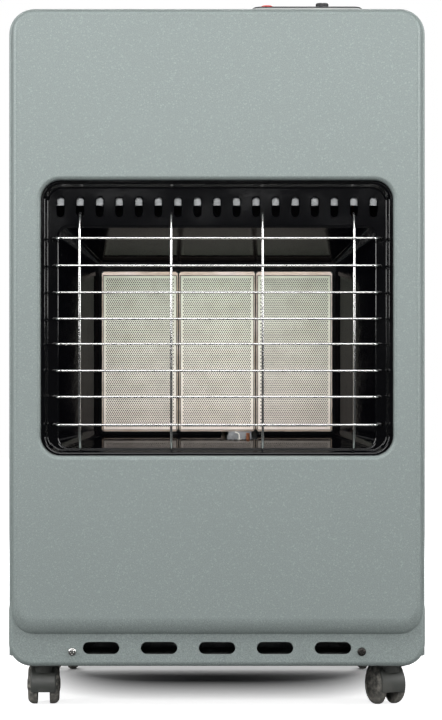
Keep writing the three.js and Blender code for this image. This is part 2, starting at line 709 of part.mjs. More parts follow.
function place(name, solid, finish, parent = heater) {
  const mesh = new THREE.Mesh(geometryOf(solid), materials[finish]);
  mesh.name = name;
  parent.add(mesh);
}

// ---------- casing ----------

// The raised face with its rounded sides and the long slope down to the band.
function raisedForm(inset) {
  const rings = [];
  for (let i = 0; i <= ROUND_STEPS; i += 1) {
    const angle = (Math.PI / 2) * (i / ROUND_STEPS);
    const round = PANEL_EDGE_ROUND - inset;
    const edge = round * (1 - Math.sin(angle));
    const fallen = STEP_FALL * Math.sin(angle);
    rings.push({
      halfWidth: PANEL_HALF_WIDTH - inset - edge,
      low: STEP_TOP - fallen + inset,
      high: PANEL_TOP - inset - edge,
      corner: PANEL_CORNER - inset - edge,
      y: inset + (BAND_SETBACK + SHEET / 2) * (1 - Math.cos(angle)),
    });
  }
  const last = rings[rings.length - 1];
  rings.push({ ...last, y: PANEL_DEPTH + (inset > 0 ? OVERCUT : 0) });
  return lofted(rings);
}

// The recessed band below, which carries the whole outline down to the bottom edge.
function bandForm(inset) {
  const rings = [];
  for (let i = 0; i <= ROUND_STEPS; i += 1) {
    const angle = (Math.PI / 2) * (i / ROUND_STEPS);
    const round = BAND_EDGE_ROUND - inset;
    const edge = round * (1 - Math.sin(angle));
    rings.push({
      halfWidth: PANEL_HALF_WIDTH - inset - edge,
      low: PANEL_BOTTOM + inset + edge,
      high: STEP_TOP + 2 * PANEL_CORNER,
      corner: PANEL_CORNER - inset - edge,
      y: BAND_SETBACK + inset + round * (1 - Math.cos(angle)),
    });
  }
  const last = rings[rings.length - 1];
  rings.push({ ...last, y: PANEL_DEPTH + (inset > 0 ? OVERCUT : 0) });
  return lofted(rings);
}

const windowRing = {
  halfWidth: WINDOW_HALF_WIDTH,
  low: WINDOW_BOTTOM,
  high: WINDOW_TOP,
  corner: WINDOW_CORNER,
  y: 0,
};

// The rolled edge of the window, a quarter round that runs back into a lip.
function windowLip() {
  const front = [];
  const rear = [];
  for (let i = 0; i <= ROUND_STEPS; i += 1) {
    const angle = (Math.PI / 2) * (i / ROUND_STEPS);
    const inner = WINDOW_ROUND - SHEET;
    const across = WINDOW_ROUND * (1 - Math.sin(angle));
    const rearAcross = WINDOW_ROUND - inner * Math.sin(angle);
    front.push(moved(windowRing, across, WINDOW_ROUND * (1 - Math.cos(angle))));
    rear.unshift(moved(windowRing, rearAcross, WINDOW_ROUND - inner * Math.cos(angle)));
  }
  const lip = moved(windowRing, 0, WINDOW_LIP);
  const lipRear = moved(windowRing, SHEET, WINDOW_LIP);
  return hoop([...front, lip, lipRear, ...rear]);
}

function windowCut() {
  const rim = moved(windowRing, WINDOW_ROUND, 0);
  return lofted([{ ...rim, y: -OVERCUT }, { ...rim, y: SHEET + OVERCUT }]);
}

function bandSlots() {
  const low = SLOT_LEVEL - SLOT_HEIGHT / 2;
  const high = SLOT_LEVEL + SLOT_HEIGHT / 2;
  const reach = [BAND_SETBACK - OVERCUT, BAND_SETBACK + SHEET + OVERCUT];
  return row(SLOT_COUNT, SLOT_PITCH).map((x) => {
    const half = SLOT_LENGTH / 2;
    return slabXZ(roundedShape(x - half, x + half, low, high, SLOT_HEIGHT / 2), ...reach, 4);
  });
}

function frontPanel() {
  const shell = less(joined(raisedForm(0), bandForm(0)), joined(raisedForm(SHEET), bandForm(SHEET)));
  const screws = [-SCREW_X, SCREW_X].map((x) => screwHole(x, BAND_SETBACK));
  return joined(less(shell, windowCut(), ...bandSlots(), ...screws), windowLip());
}

function screwHole(x, face) {
  const from = [x, face - OVERCUT, SCREW_LEVEL];
  const to = [x, face + BRACKET_SHEET + OVERCUT, SCREW_LEVEL];
  return rod(from, to, SCREW_SHANK_RADIUS + FIT, 12);
}

function casingSection(inset, y) {
  return {
    halfWidth: CASE_HALF_WIDTH - inset,
    low: -CASE_CORNER * 2 + inset,
    high: CASE_TOP - inset,
    corner: Math.max(CASE_CORNER - inset, 2),
    y,
  };
}

// The sheet's path round the casing edge: flange, bend, side, bend, flange.
function casingWrap() {
  const bendMiddle = CASE_BEND * (1 - Math.SQRT1_2);
  const outer = [
    [CASE_FRONT_FLANGE, CASE_FRONT],
    [CASE_BEND, CASE_FRONT],
    [bendMiddle, CASE_FRONT + bendMiddle],
    [0, CASE_FRONT + CASE_BEND],
    [0, CASE_REAR - CASE_BEND],
    [bendMiddle, CASE_REAR - bendMiddle],
    [CASE_BEND, CASE_REAR],
    [CASE_REAR_FLANGE, CASE_REAR],
  ];
  const inner = [
    [CASE_REAR_FLANGE, CASE_REAR - SHEET],
    [CASE_BEND, CASE_REAR - SHEET],
    [SHEET, CASE_REAR - CASE_BEND],
    [SHEET, CASE_FRONT + CASE_BEND],
    [CASE_BEND, CASE_FRONT + SHEET],
    [CASE_FRONT_FLANGE, CASE_FRONT + SHEET],
  ];
  const wrap = hoop([...outer, ...inner].map(([inset, y]) => casingSection(inset, y)));
  const wide = CASE_HALF_WIDTH + OVERCUT;
  const below = block(-wide, wide, 0, COVER_REAR, -4 * CASE_CORNER, CASE_BOTTOM);
  const hooks = hookPlaces().map(([x, z]) => hookSlot(x, z));
  return less(wrap, below, consoleCutout(), ...hooks);
}

function consoleCutout() {
  const edge = CONSOLE_BEVEL + CONSOLE_WALL;
  const shape = roundedShape(
    CONSOLE_LEFT + edge, CONSOLE_RIGHT - edge, CONSOLE_FRONT + edge, CONSOLE_REAR - edge,
    CONSOLE_SKIRT_CORNER
  );
  return slabXY(shape, CASE_CEILING - OVERCUT, CASE_TOP + OVERCUT, 4);
}

// ---------- rear cover and the slanted hooks that hang it ----------

function hookPlaces() {
  const x = CASE_HALF_WIDTH - HOOK_INSET;
  const levels = [COVER_BOTTOM + HOOK_FROM_BOTTOM, COVER_TOP - HOOK_FROM_TOP];
  return levels.flatMap((z) => [[-x, z], [x, z]]);
}

// A bar that slopes down and forwards at 45 degrees from a point on the cover flange.
function slopedBar(x, z, width, thickness, ahead, behind) {
  const across = thickness / 2 * Math.SQRT2;
  const shape = new THREE.Shape();
  const y = COVER_FRONT;
  shape.moveTo(y - ahead, z - ahead - across);
  shape.lineTo(y + behind, z + behind - across);
  shape.lineTo(y + behind, z + behind + across);
  shape.lineTo(y - ahead, z - ahead + across);
  shape.closePath();
  return slabYZ(shape, x - width / 2, x + width / 2);
}

function hook(x, z) {
  const reach = HOOK_LENGTH * Math.SQRT1_2;
  return slopedBar(x, z, HOOK_WIDTH, HOOK_THICKNESS, reach, SHEET / 2);
}

function hookSlot(x, z) {
  const clear = SHEET + FIT + OVERCUT;
  return slopedBar(x, z, HOOK_WIDTH + 2 * RUN, HOOK_THICKNESS + 2 * RUN, clear, 0);
}

function coverSection(inset, y, taper) {
  return {
    halfWidth: COVER_HALF_WIDTH - inset - taper,
    low: COVER_BOTTOM - 3 * COVER_CORNER + inset,
    high: COVER_TOP - inset - taper,
    corner: COVER_CORNER - Math.min(inset, COVER_CORNER - 2),
    y,
  };
}

function coverForm(inset) {
  const round = COVER_EDGE_ROUND;
  const rings = [coverSection(inset, COVER_FRONT - (inset > 0 ? OVERCUT : 0), 0)];
  for (let i = 0; i <= ROUND_STEPS; i += 1) {
    const angle = (Math.PI / 2) * (i / ROUND_STEPS);
    const edge = (round - inset) * (1 - Math.cos(angle));
    const y = COVER_REAR - round + (round - inset) * Math.sin(angle);
    rings.push(coverSection(inset + edge, y, COVER_TAPER));
  }
  return lofted(rings);
}

function coverFlange() {
  const rim = coverSection(0, COVER_FRONT, 0);
  const outer = moved(rim, COVER_FLANGE, 0);
  const inner = moved(rim, -SHEET / 2, 0);
  return hoop([outer, inner, moved(inner, 0, SHEET), moved(outer, 0, SHEET)]);
}

function rearCover() {
  const levels = [COVER_BOTTOM + COVER_LOUVRE_INSET, COVER_TOP - COVER_LOUVRE_INSET];
  const louvres = levels.flatMap((z) =>
    row(COVER_LOUVRES, COVER_LOUVRE_PITCH).map((x) => {
      const [long, high] = [COVER_LOUVRE_LENGTH / 2, COVER_LOUVRE_HEIGHT / 2];
      const shape = roundedShape(x - long, x + long, z - high, z + high, high);
      return slabXZ(shape, COVER_REAR - SHEET - OVERCUT, COVER_REAR + OVERCUT, 2);
    })
  );
  const wide = COVER_HALF_WIDTH + COVER_FLANGE + OVERCUT;
  const below = block(-wide, wide, 0, COVER_REAR + OVERCUT, -COVER_BOTTOM, COVER_BOTTOM);
  const tub = less(coverForm(0), coverForm(SHEET), ...louvres);
  const hooks = hookPlaces().map(([x, z]) => hook(x, z));
  return less(joined(tub, coverFlange(), ...hooks), below);
}

// ---------- base pan and bulkhead ----------

function basePan() {
  const side = BASE_HALF_WIDTH;
  const rearHalf = BASE_REAR_HALF_WIDTH;
  const floor = new THREE.Shape();
  floor.moveTo(-side, BASE_FRONT);
  floor.lineTo(side, BASE_FRONT);
  floor.lineTo(side, BASE_SIDE_END);
  floor.lineTo(rearHalf, BASE_SIDE_END);
  floor.lineTo(rearHalf, BASE_REAR);
  floor.lineTo(-rearHalf, BASE_REAR);
  floor.lineTo(-rearHalf, BASE_SIDE_END);
  floor.lineTo(-side, BASE_SIDE_END);
  floor.closePath();
  const upstands = [-side, side - BASE_SHEET].map((x) =>
    block(x, x + BASE_SHEET, BASE_FRONT, BASE_SIDE_END, BASE_BOTTOM, BASE_BOTTOM + BASE_UPSTAND)
  );
  const lip = block(-rearHalf, rearHalf, BASE_REAR - BASE_SHEET, BASE_REAR, BASE_TOP - BASE_LIP, BASE_TOP);
  const tabs = [-SCREW_X, SCREW_X].map(screwTab);
  return joined(slabXY(floor, BASE_BOTTOM, BASE_TOP), ...upstands, lip, cylinderRing(), ...tabs);
}

// A tab that runs forward from the floor and turns up behind the front panel's band.
function screwTab(x) {
  const face = BAND_SETBACK + SHEET + FIT;
  const [left, right] = [x - TAB_HALF_WIDTH, x + TAB_HALF_WIDTH];
  const tongue = block(left, right, face, BASE_FRONT + OVERCUT, BASE_BOTTOM, BASE_TOP);
  const upright = block(left, right, face, face + BASE_SHEET, BASE_BOTTOM, TAB_TOP);
  return less(joined(tongue, upright), screwHole(x, face));
}

// The pressed ring that keeps a gas cylinder in the middle of its compartment.
function cylinderRing() {
  const [inner, outer] = [CYLINDER_RING_RADIUS, CYLINDER_RING_RADIUS + CYLINDER_RING_WIDTH];
  const [foot, top] = [BASE_TOP - BASE_SHEET / 2, BASE_TOP + CYLINDER_RING_HEIGHT];
  const profile = [
    [inner, foot],
    [outer, foot],
    [outer - CYLINDER_RING_SLOPE, top],
    [inner + CYLINDER_RING_SLOPE, top],
    [inner, foot],
  ];
  const middle = (BULKHEAD_FRONT + COVER_REAR) / 2 + FIT;
  return turned(profile, 28).translate(0, middle, 0);
}

// The wall stands between the base's upstands, and above them its flanges reach the casing.
function bulkhead() {
  const low = BASE_TOP + FIT;
  const shoulder = BASE_BOTTOM + BASE_UPSTAND + FIT;
  const wide = BASE_HALF_WIDTH;
  const narrow = BASE_HALF_WIDTH - BASE_SHEET - FIT;
  const front = BULKHEAD_FRONT;
  const flangeFront = front - BULKHEAD_FLANGE;
  const outline = new THREE.Shape([
    new THREE.Vector2(-narrow, low),
    new THREE.Vector2(narrow, low),
    new THREE.Vector2(narrow, shoulder),
    new THREE.Vector2(wide, shoulder),
    new THREE.Vector2(wide, BULKHEAD_TOP),
    new THREE.Vector2(-wide, BULKHEAD_TOP),
    new THREE.Vector2(-wide, shoulder),
    new THREE.Vector2(-narrow, shoulder),
  ]);
  const wall = slabXZ(outline, front, front + SHEET);
  const flanges = [-wide, wide - SHEET].map((x) =>
    block(x, x + SHEET, flangeFront, front + SHEET / 2, shoulder, BULKHEAD_TOP)
  );
  const shelf = block(-wide, wide, flangeFront, front + SHEET / 2, BULKHEAD_TOP - SHEET, BULKHEAD_TOP);
  return joined(wall, ...flanges, shelf);
}

function heatShield() {
  const front = CASE_FRONT + SHEET + FIT;
  const half = SHIELD_HALF_WIDTH;
  const shape = roundedShape(-half, half, SHIELD_BOTTOM, SHIELD_TOP, SHIELD_CORNER);
  const sheet = slabXZ(shape, front, front + SHEET, 3);
  const lipHalf = half - SHIELD_LIP_INSET;
  const lip = block(-lipHalf, lipHalf, front, front + SHIELD_LIP, SHIELD_BOTTOM, SHIELD_BOTTOM + SHEET);
  return joined(sheet, lip);
}

// ---------- burner surround ----------

function surroundRings() {
  const flange = {
    halfWidth: WINDOW_HALF_WIDTH + SURROUND_OVERLAP,
    low: WINDOW_BOTTOM - SURROUND_OVERLAP,
    high: WINDOW_TOP + SURROUND_OVERLAP,
    corner: WINDOW_CORNER + SURROUND_OVERLAP,
    y: FLANGE_FACE,
  };
  const step = {
    halfWidth: WINDOW_HALF_WIDTH - SURROUND_REVEAL,
    low: WINDOW_BOTTOM + SURROUND_REVEAL,
    high: WINDOW_TOP - SURROUND_REVEAL,
    corner: WINDOW_CORNER - SURROUND_REVEAL,
    y: FLANGE_FACE,
  };
  const band = {
    halfWidth: BAND_HALF_WIDTH,
    low: BAND_BOTTOM,
    high: BAND_TOP,
    corner: WINDOW_CORNER - SURROUND_REVEAL - STEP_SLOPE / 2,
    y: BAND_FACE,
  };
  const mouth = {
    halfWidth: MOUTH_HALF_WIDTH,
    low: MOUTH_BOTTOM,
    high: MOUTH_TOP,
    corner: MOUTH_CORNER,
    y: BAND_FACE,
  };
  const rear = {
    halfWidth: BURNERS_HALF_WIDTH + RECESS_SIDE_MARGIN,
    low: BURNER_BOTTOM - RECESS_BOTTOM_MARGIN,
    high: BURNER_TOP + RECESS_TOP_MARGIN,
    corner: MOUTH_CORNER / 2,
    y: RECESS_REAR,
  };
  const opening = {
    halfWidth: BURNERS_HALF_WIDTH + RUN,
    low: BURNER_BOTTOM - RUN,
    high: BURNER_TOP + RUN,
    corner: 1,
    y: RECESS_REAR,
  };
  return [flange, step, band, mouth, rear, opening];
}

// How far outwards the rear skin of the sheet lies at each ring.
const SKIN_SPREAD = [0, 0.45, 0.45, 0.55, 0.55, 0];

function ventRing(x, spread, y) {
  return {
    halfWidth: VENT_HALF_WIDTH + spread,
    low: VENT_LEVEL - VENT_HALF_HEIGHT - spread,
    high: VENT_LEVEL + VENT_HALF_HEIGHT + spread,
    corner: VENT_HALF_WIDTH + spread,
    centre: x,
    steps: 2,
    y,
  };
}

// The flared collar that is pressed into the sheet round each vent.
function ventCollar(x) {
  const outer = VENT_FLARE + ENAMEL_SHEET;
  return lofted([
    ventRing(x, outer, BAND_FACE + ENAMEL_SHEET / 2),
    ventRing(x, ENAMEL_SHEET, BAND_FACE + VENT_DEPTH + ENAMEL_SHEET),
  ]);
}

function ventCut(x) {
  return lofted([
    ventRing(x, VENT_FLARE, BAND_FACE - OVERCUT),
    ventRing(x, VENT_FLARE, BAND_FACE),
    ventRing(x, 0, BAND_FACE + VENT_DEPTH),
    ventRing(x, 0, BAND_FACE + VENT_DEPTH + ENAMEL_SHEET + OVERCUT),
  ]);
}

// The notch in the recess floor that the pilot, electrode and probe stand in.
function pilotNotch() {
  const left = PILOT_X - PILOT_HEAD_RADIUS - PILOT_CUT_MARGIN;
  const right = PILOT_X + 2 * PILOT_PITCH + PILOT_HEAD_RADIUS + PILOT_CUT_MARGIN;
  const front = PILOT_Y - PILOT_HEAD_RADIUS - PILOT_CUT_MARGIN / 2;
  const rear = RECESS_REAR + ENAMEL_SHEET + OVERCUT;
  return block(left, right, front, rear, MOUTH_BOTTOM - OVERCUT, BURNER_BOTTOM + OVERCUT);
}

function burnerSurround() {
  const front = surroundRings();
  const rear = front.map((ring, i) => moved(ring, SKIN_SPREAD[i] * ENAMEL_SHEET, ENAMEL_SHEET));
  const skin = hoop([...front, ...rear.reverse()]);
  const vents = row(VENT_COUNT, VENT_PITCH);
  const holes = [-1, 1].flatMap((side) =>
    [CROSS_LEVELS[0], CROSS_LEVELS[CROSS_LEVELS.length - 1]].map((z) => guardHole(side * CROSS_HOOK, z))
  );
  const pressed = joined(skin, ...vents.map(ventCollar));
  return less(pressed, ...vents.map(ventCut), pilotNotch(), ...holes);
}

function guardHole(x, z) {
  const from = [x, BAND_FACE - OVERCUT, z];
  const to = [x, BAND_FACE + ENAMEL_SHEET + 2 * OVERCUT, z];
  return rod(from, to, WIRE_RADIUS + RUN, 10);
}

// ---------- guard ----------

function crossWire(z, hooked) {
  const end = hooked ? WIRE_TAIL_END : BAND_FACE - FIT;
  const bend = CROSS_HOOK - CROSS_SLOPE;
  return bentTube(
    [
      [-CROSS_HOOK, end, z],
      [-CROSS_HOOK, BAND_FACE - WIRE_BEND, z],
      [-bend, CROSS_DEPTH, z],
      [bend, CROSS_DEPTH, z],
      [CROSS_HOOK, BAND_FACE - WIRE_BEND, z],
      [CROSS_HOOK, end, z],
    ],
    WIRE_RADIUS, WIRE_BEND
  );
}

function upright(x) {
  const hooked = VENT_PITCH * Math.round(x / VENT_PITCH);
  const inVent = Math.abs(x - hooked) < VENT_HALF_WIDTH - WIRE_RADIUS;
  const top = inVent ? WIRE_TAIL_END : BAND_FACE - FIT;
  return bentTube(
    [
      [x, BAND_FACE - FIT, UPRIGHT_HOOK_BOTTOM],
      [x, BAND_FACE - WIRE_BEND, UPRIGHT_HOOK_BOTTOM],
      [x, UPRIGHT_DEPTH, BAND_BOTTOM + UPRIGHT_BOTTOM_SLOPE],
      [x, UPRIGHT_DEPTH, UPRIGHT_HOOK_TOP - UPRIGHT_TOP_SLOPE],
      [x, BAND_FACE - WIRE_BEND, UPRIGHT_HOOK_TOP],
      [x, top, UPRIGHT_HOOK_TOP],
    ],
    WIRE_RADIUS, WIRE_BEND
  );
}

function guardGrille() {
  const last = CROSS_LEVELS.length - 1;
  const cross = CROSS_LEVELS.map((z, i) => crossWire(z, i === 0 || i === last));
  return joined(...cross, ...row(UPRIGHT_COUNT, UPRIGHT_PITCH).map(upright));
}

// ---------- burners ----------

function plaque(x) {
  const half = PLAQUE_WIDTH / 2;
  const tile = block(x - half, x + half, PLAQUE_FRONT, PLAQUE_REAR, PLAQUE_BOTTOM, PLAQUE_TOP);
  const field = half - PLAQUE_EDGE;
  const recess = block(
    x - field, x + field, PLAQUE_FRONT - OVERCUT, PLAQUE_FRONT + PLAQUE_RECESS,
    PLAQUE_BOTTOM + PLAQUE_EDGE, PLAQUE_TOP - PLAQUE_EDGE
  );
  return less(tile, recess);
}

// A pressed tray: the plaque closes its mouth and the venturi feeds it from below.
function burnerBody(x) {
  const half = BURNER_HALF_WIDTH;
  const tray = {
    halfWidth: half,
    low: BURNER_BOTTOM,
    high: BURNER_TOP,
    corner: TRAY_CORNER,
    centre: x,
    steps: 1,
    y: BURNER_FRONT,
  };
  const shoulder = { ...tray, y: BURNER_REAR - TRAY_REAR_CHAMFER };
  const outer = lofted([tray, shoulder, moved(shoulder, -TRAY_REAR_CHAMFER, TRAY_REAR_CHAMFER)]);
  const seat = PLAQUE_REAR + FIT;
  const seatHalf = PLAQUE_WIDTH / 2 + FIT;
  const mouth = block(
    x - seatHalf, x + seatHalf, BURNER_FRONT - OVERCUT, seat, PLAQUE_BOTTOM - FIT, PLAQUE_TOP + FIT
  );
  const ledge = PLAQUE_EDGE;
  const plenum = block(
    x - seatHalf + ledge, x + seatHalf - ledge, seat - OVERCUT, BURNER_REAR - BURNER_WALL,
    PLAQUE_BOTTOM + ledge, PLAQUE_TOP - ledge
  );
  const bore = rod(
    [x, VENTURI_Y, VENTURI_END - OVERCUT], [x, VENTURI_Y, PLAQUE_BOTTOM + ledge + OVERCUT],
    VENTURI_RADIUS - VENTURI_WALL, 16
  );
  return less(joined(outer, venturi(x)), mouth, plenum, bore, venturiBell(x));
}

function venturi(x) {
  const profile = [
    [0, 0],
    [VENTURI_MOUTH_RADIUS, 0],
    [VENTURI_MOUTH_RADIUS, VENTURI_MOUTH_RIM],
    [VENTURI_RADIUS, VENTURI_MOUTH_LENGTH],
    [VENTURI_RADIUS, VENTURI_LENGTH + BURNER_WALL],
    [0, VENTURI_LENGTH + BURNER_WALL],
  ];
  return turned(profile, 16).translate(x, VENTURI_Y, VENTURI_END);
}

function venturiBell(x) {
  const inner = VENTURI_MOUTH_RADIUS - VENTURI_WALL;
  const from = [x, VENTURI_Y, VENTURI_END - HAIR];
  const to = [x, VENTURI_Y, VENTURI_END + VENTURI_MOUTH_LENGTH - VENTURI_MOUTH_RIM];
  return rod(from, to, inner, 16, VENTURI_RADIUS - VENTURI_WALL);
}

function jet(x, from) {
  return joined(
    rod([x, VENTURI_Y, from], [x, VENTURI_Y, JET_TIP - JET_NOSE + OVERCUT], INJECTOR_RADIUS, 6),
    rod([x, VENTURI_Y, JET_TIP - JET_NOSE], [x, VENTURI_Y, JET_TIP], INJECTOR_RADIUS - 1, 12, JET_NOSE_RADIUS)
  );
}

// A plate that carries an injector from the bulkhead.
function injectorFoot(x, low, high) {
  const rear = BULKHEAD_FRONT - FIT;
  const [arm, foot] = [FOOT_ARM / 2, FOOT_WIDTH / 2];
  return joined(
    block(x - arm, x + arm, VENTURI_Y, rear, low, low + FOOT_SHEET),
    block(x - foot, x + foot, rear - FOOT_SHEET, rear, low, high)
  );
}

function centreInjector() {
  const high = JET_TIP - CENTRE_BLOCK_DROP;
  const low = high - CENTRE_BLOCK;
  const half = CENTRE_BLOCK / 2;
  const body = block(-half, half, VENTURI_Y - half, VENTURI_Y + half, low, high);
  return joined(body, jet(0, low + OVERCUT), injectorFoot(0, low + FOOT_SHEET, high));
}

function sideInjectorRail() {
  const end = PLAQUE_PITCH + RAIL_RADIUS;
  const tube = rod([-end, VENTURI_Y, RAIL_LEVEL], [end, VENTURI_Y, RAIL_LEVEL], RAIL_RADIUS, 12);
  const jets = [-PLAQUE_PITCH, PLAQUE_PITCH].map((x) => jet(x, RAIL_LEVEL));
  const foot = PLAQUE_PITCH / 2;
  const feet = [-foot, foot].map((x) => injectorFoot(x, RAIL_LEVEL - FOOT_SHEET, RAIL_LEVEL + FOOT_RISE));
  return joined(tube, ...jets, ...feet);
}

// ---------- pilot group ----------

// The bracket hangs under the burner trays and holds the pilot, electrode and probe.
function pilotBurner() {
  const left = VENTURI_RADIUS + VENTURI_WALL + PILOT_PLATE;
  const right = PROBE_X + PILOT_HEAD_RADIUS;
  const shelfLeft = PILOT_X - PILOT_HEAD_RADIUS - OVERCUT;
  const plate = BURNER_BOTTOM - FIT - PILOT_PLATE;
  const shelfTop = PILOT_BASE + PILOT_SHELF_RISE;
  const shelfLow = shelfTop - PILOT_PLATE;
  const [ahead, webFront] = [PILOT_Y - PILOT_SHELF_AHEAD, PILOT_Y + PILOT_WEB_BEHIND];
  const webRear = webFront + PILOT_PLATE;
  const ear = block(left, right, webFront, VENTURI_Y + PILOT_WEB_BEHIND, plate, plate + PILOT_PLATE);
  const web = block(left, right, webFront, webRear, shelfLow, plate + OVERCUT);
  const shelf = block(shelfLeft, right, ahead, webRear, shelfLow, shelfTop);
  const head = rod([PILOT_X, PILOT_Y, PILOT_BASE], [PILOT_X, PILOT_Y, PILOT_TIP], PILOT_HEAD_RADIUS, 12);
  const half = PILOT_PORT / 2;
  const port = block(
    PILOT_X - half, PILOT_X + half, ahead, PILOT_Y + PILOT_SHELF_AHEAD,
    PILOT_TIP - PILOT_PORT_DEPTH, PILOT_TIP + OVERCUT
  );
  const holes = [[ELECTRODE_X, ELECTRODE_RADIUS], [PROBE_X, PROBE_RADIUS]].map(([x, radius]) =>
    rod([x, PILOT_Y, shelfLow - OVERCUT], [x, PILOT_Y, shelfTop + OVERCUT], radius + FIT, 12)
  );
  return less(joined(ear, web, shelf, head), port, ...holes);
}

function sparkElectrode() {
  const base = [ELECTRODE_X, PILOT_Y];
  const sleeveTop = PILOT_TIP - 4;
  const sleeve = rod([...base, ELECTRODE_LOW], [...base, sleeveTop], ELECTRODE_RADIUS, 10);
  const tip = bentTube(
    [
      [...base, sleeveTop - 2],
      [...base, PILOT_TIP + 1.5],
      [ELECTRODE_X - ELECTRODE_REACH, PILOT_Y, PILOT_TIP + 3],
    ],
    ELECTRODE_WIRE_RADIUS, 2
  );
  return joined(sleeve, tip);
}

const ELECTRODE_LOW = PILOT_BASE + 2;
const OUTLET_XS = row(OUTLET_COUNT, OUTLET_PITCH, KNOB_X);
const PIPE_START = OUTLET_BOTTOM - FIT;
const PIPE_STRAIGHT = 16;       // each run leaves the valve straight down by this much
const PIPE_CROSSING = 34;       // and has moved over to its lane this far down

// Rigid runs come down on the right of the burners and turn in below the recess.
function lane({ outlet, right, behind, level, run, end }) {
  const [down, back] = [BURNERS_HALF_WIDTH + right, RECESS_REAR + behind];
  const [endX, endY, endZ] = end;
  return [
    [outlet, KNOB_Y, PIPE_START],
    [outlet, KNOB_Y, PIPE_START - PIPE_STRAIGHT],
    [down, back, PIPE_START - PIPE_CROSSING],
    [down, back, level + PIPE_BEND + 2],
    [down, run, level],
    [endX, run, level],
    [endX, endY, level],
    [endX, endY, endZ],
  ];
}

function thermocoupleLead() {
  const route = lane({
    outlet: OUTLET_XS[1],
    right: PROBE_LANE,
    behind: PROBE_BEHIND,
    level: PILOT_BASE - PROBE_RUN_DROP,
    run: PILOT_Y + PROBE_RUN_BEHIND,
    end: [PROBE_X, PILOT_Y, PILOT_BASE + 4],
  });
  const probe = rod([PROBE_X, PILOT_Y, PILOT_BASE + 2], [PROBE_X, PILOT_Y, PILOT_TIP + 2], PROBE_RADIUS, 10);
  return joined(bentTube(route, LEAD_RADIUS, PIPE_BEND), probe);
}

function pilotPipe() {
  const route = lane({
    outlet: OUTLET_XS[0],
    right: PILOT_LANE,
    behind: PILOT_BEHIND,
    level: PILOT_BASE - PILOT_RUN_DROP,
    run: PILOT_Y + PILOT_RUN_BEHIND,
    end: [PILOT_X, PILOT_Y, PILOT_BASE - FIT],
  });
  return bentTube(route, THIN_PIPE_RADIUS, PIPE_BEND);
}

function centreBurnerPipe() {
  const down = BURNERS_HALF_WIDTH + CENTRE_LANE;
  const [back, run] = [RECESS_REAR + CENTRE_BEHIND, RECESS_REAR + PROBE_BEHIND];
  const low = PILOT_BASE - CENTRE_RUN_DROP;
  const level = JET_TIP - CENTRE_BLOCK_DROP - CENTRE_BLOCK / 2;
  return bentTube(
    [
      [OUTLET_XS[2], KNOB_Y, PIPE_START],
      [OUTLET_XS[2], KNOB_Y, PIPE_START - PIPE_STRAIGHT],
      [down, back, PIPE_START - PIPE_CROSSING],
      [down, back, low + PIPE_BEND + 2],
      [down, run, low],
      [0, run, low],
      [0, run, level],
      [0, VENTURI_Y - CENTRE_BLOCK / 2 - FIT, level],
    ],
    PIPE_RADIUS, PIPE_BEND
  );
}

function sideBurnerPipe() {
  const down = BURNERS_HALF_WIDTH + SIDE_LANE;
  return bentTube(
    [
      [OUTLET_XS[3], KNOB_Y, PIPE_START],
      [OUTLET_XS[3], KNOB_Y, PIPE_START - PIPE_STRAIGHT + 2],
      [down, RECESS_REAR + SIDE_BEHIND, PIPE_START - PIPE_CROSSING + 4],
      [down, VENTURI_Y, RAIL_LEVEL + PIPE_BEND + 8],
      [down - 8, VENTURI_Y, RAIL_LEVEL],
      [PLAQUE_PITCH + RAIL_RADIUS + FIT, VENTURI_Y, RAIL_LEVEL],
    ],
    PIPE_RADIUS, PIPE_BEND
  );
}

function ignitionLead() {
  const start = IGNITER_BOTTOM - FIT;
  const down = BURNERS_HALF_WIDTH + IGNITION_LANE;
  const [back, run] = [RECESS_REAR + IGNITION_BEHIND, PILOT_Y - IGNITION_RUN_AHEAD];
  const level = PILOT_BASE - PILOT_RUN_DROP;
  return bentTube(
    [
      [BUTTON_X, KNOB_Y, start],
      [BUTTON_X, KNOB_Y, start - PIPE_STRAIGHT - 2],
      [down, back, start - 2 * PIPE_CROSSING - 2],
      [down, back, level + 20],
      [down, run, level],
      [ELECTRODE_X, run, level],
      [ELECTRODE_X, PILOT_Y, level - 2],
      [ELECTRODE_X, PILOT_Y, ELECTRODE_LOW - FIT],
    ],
    LEAD_RADIUS, PIPE_BEND
  );
}

// ---------- controls ----------

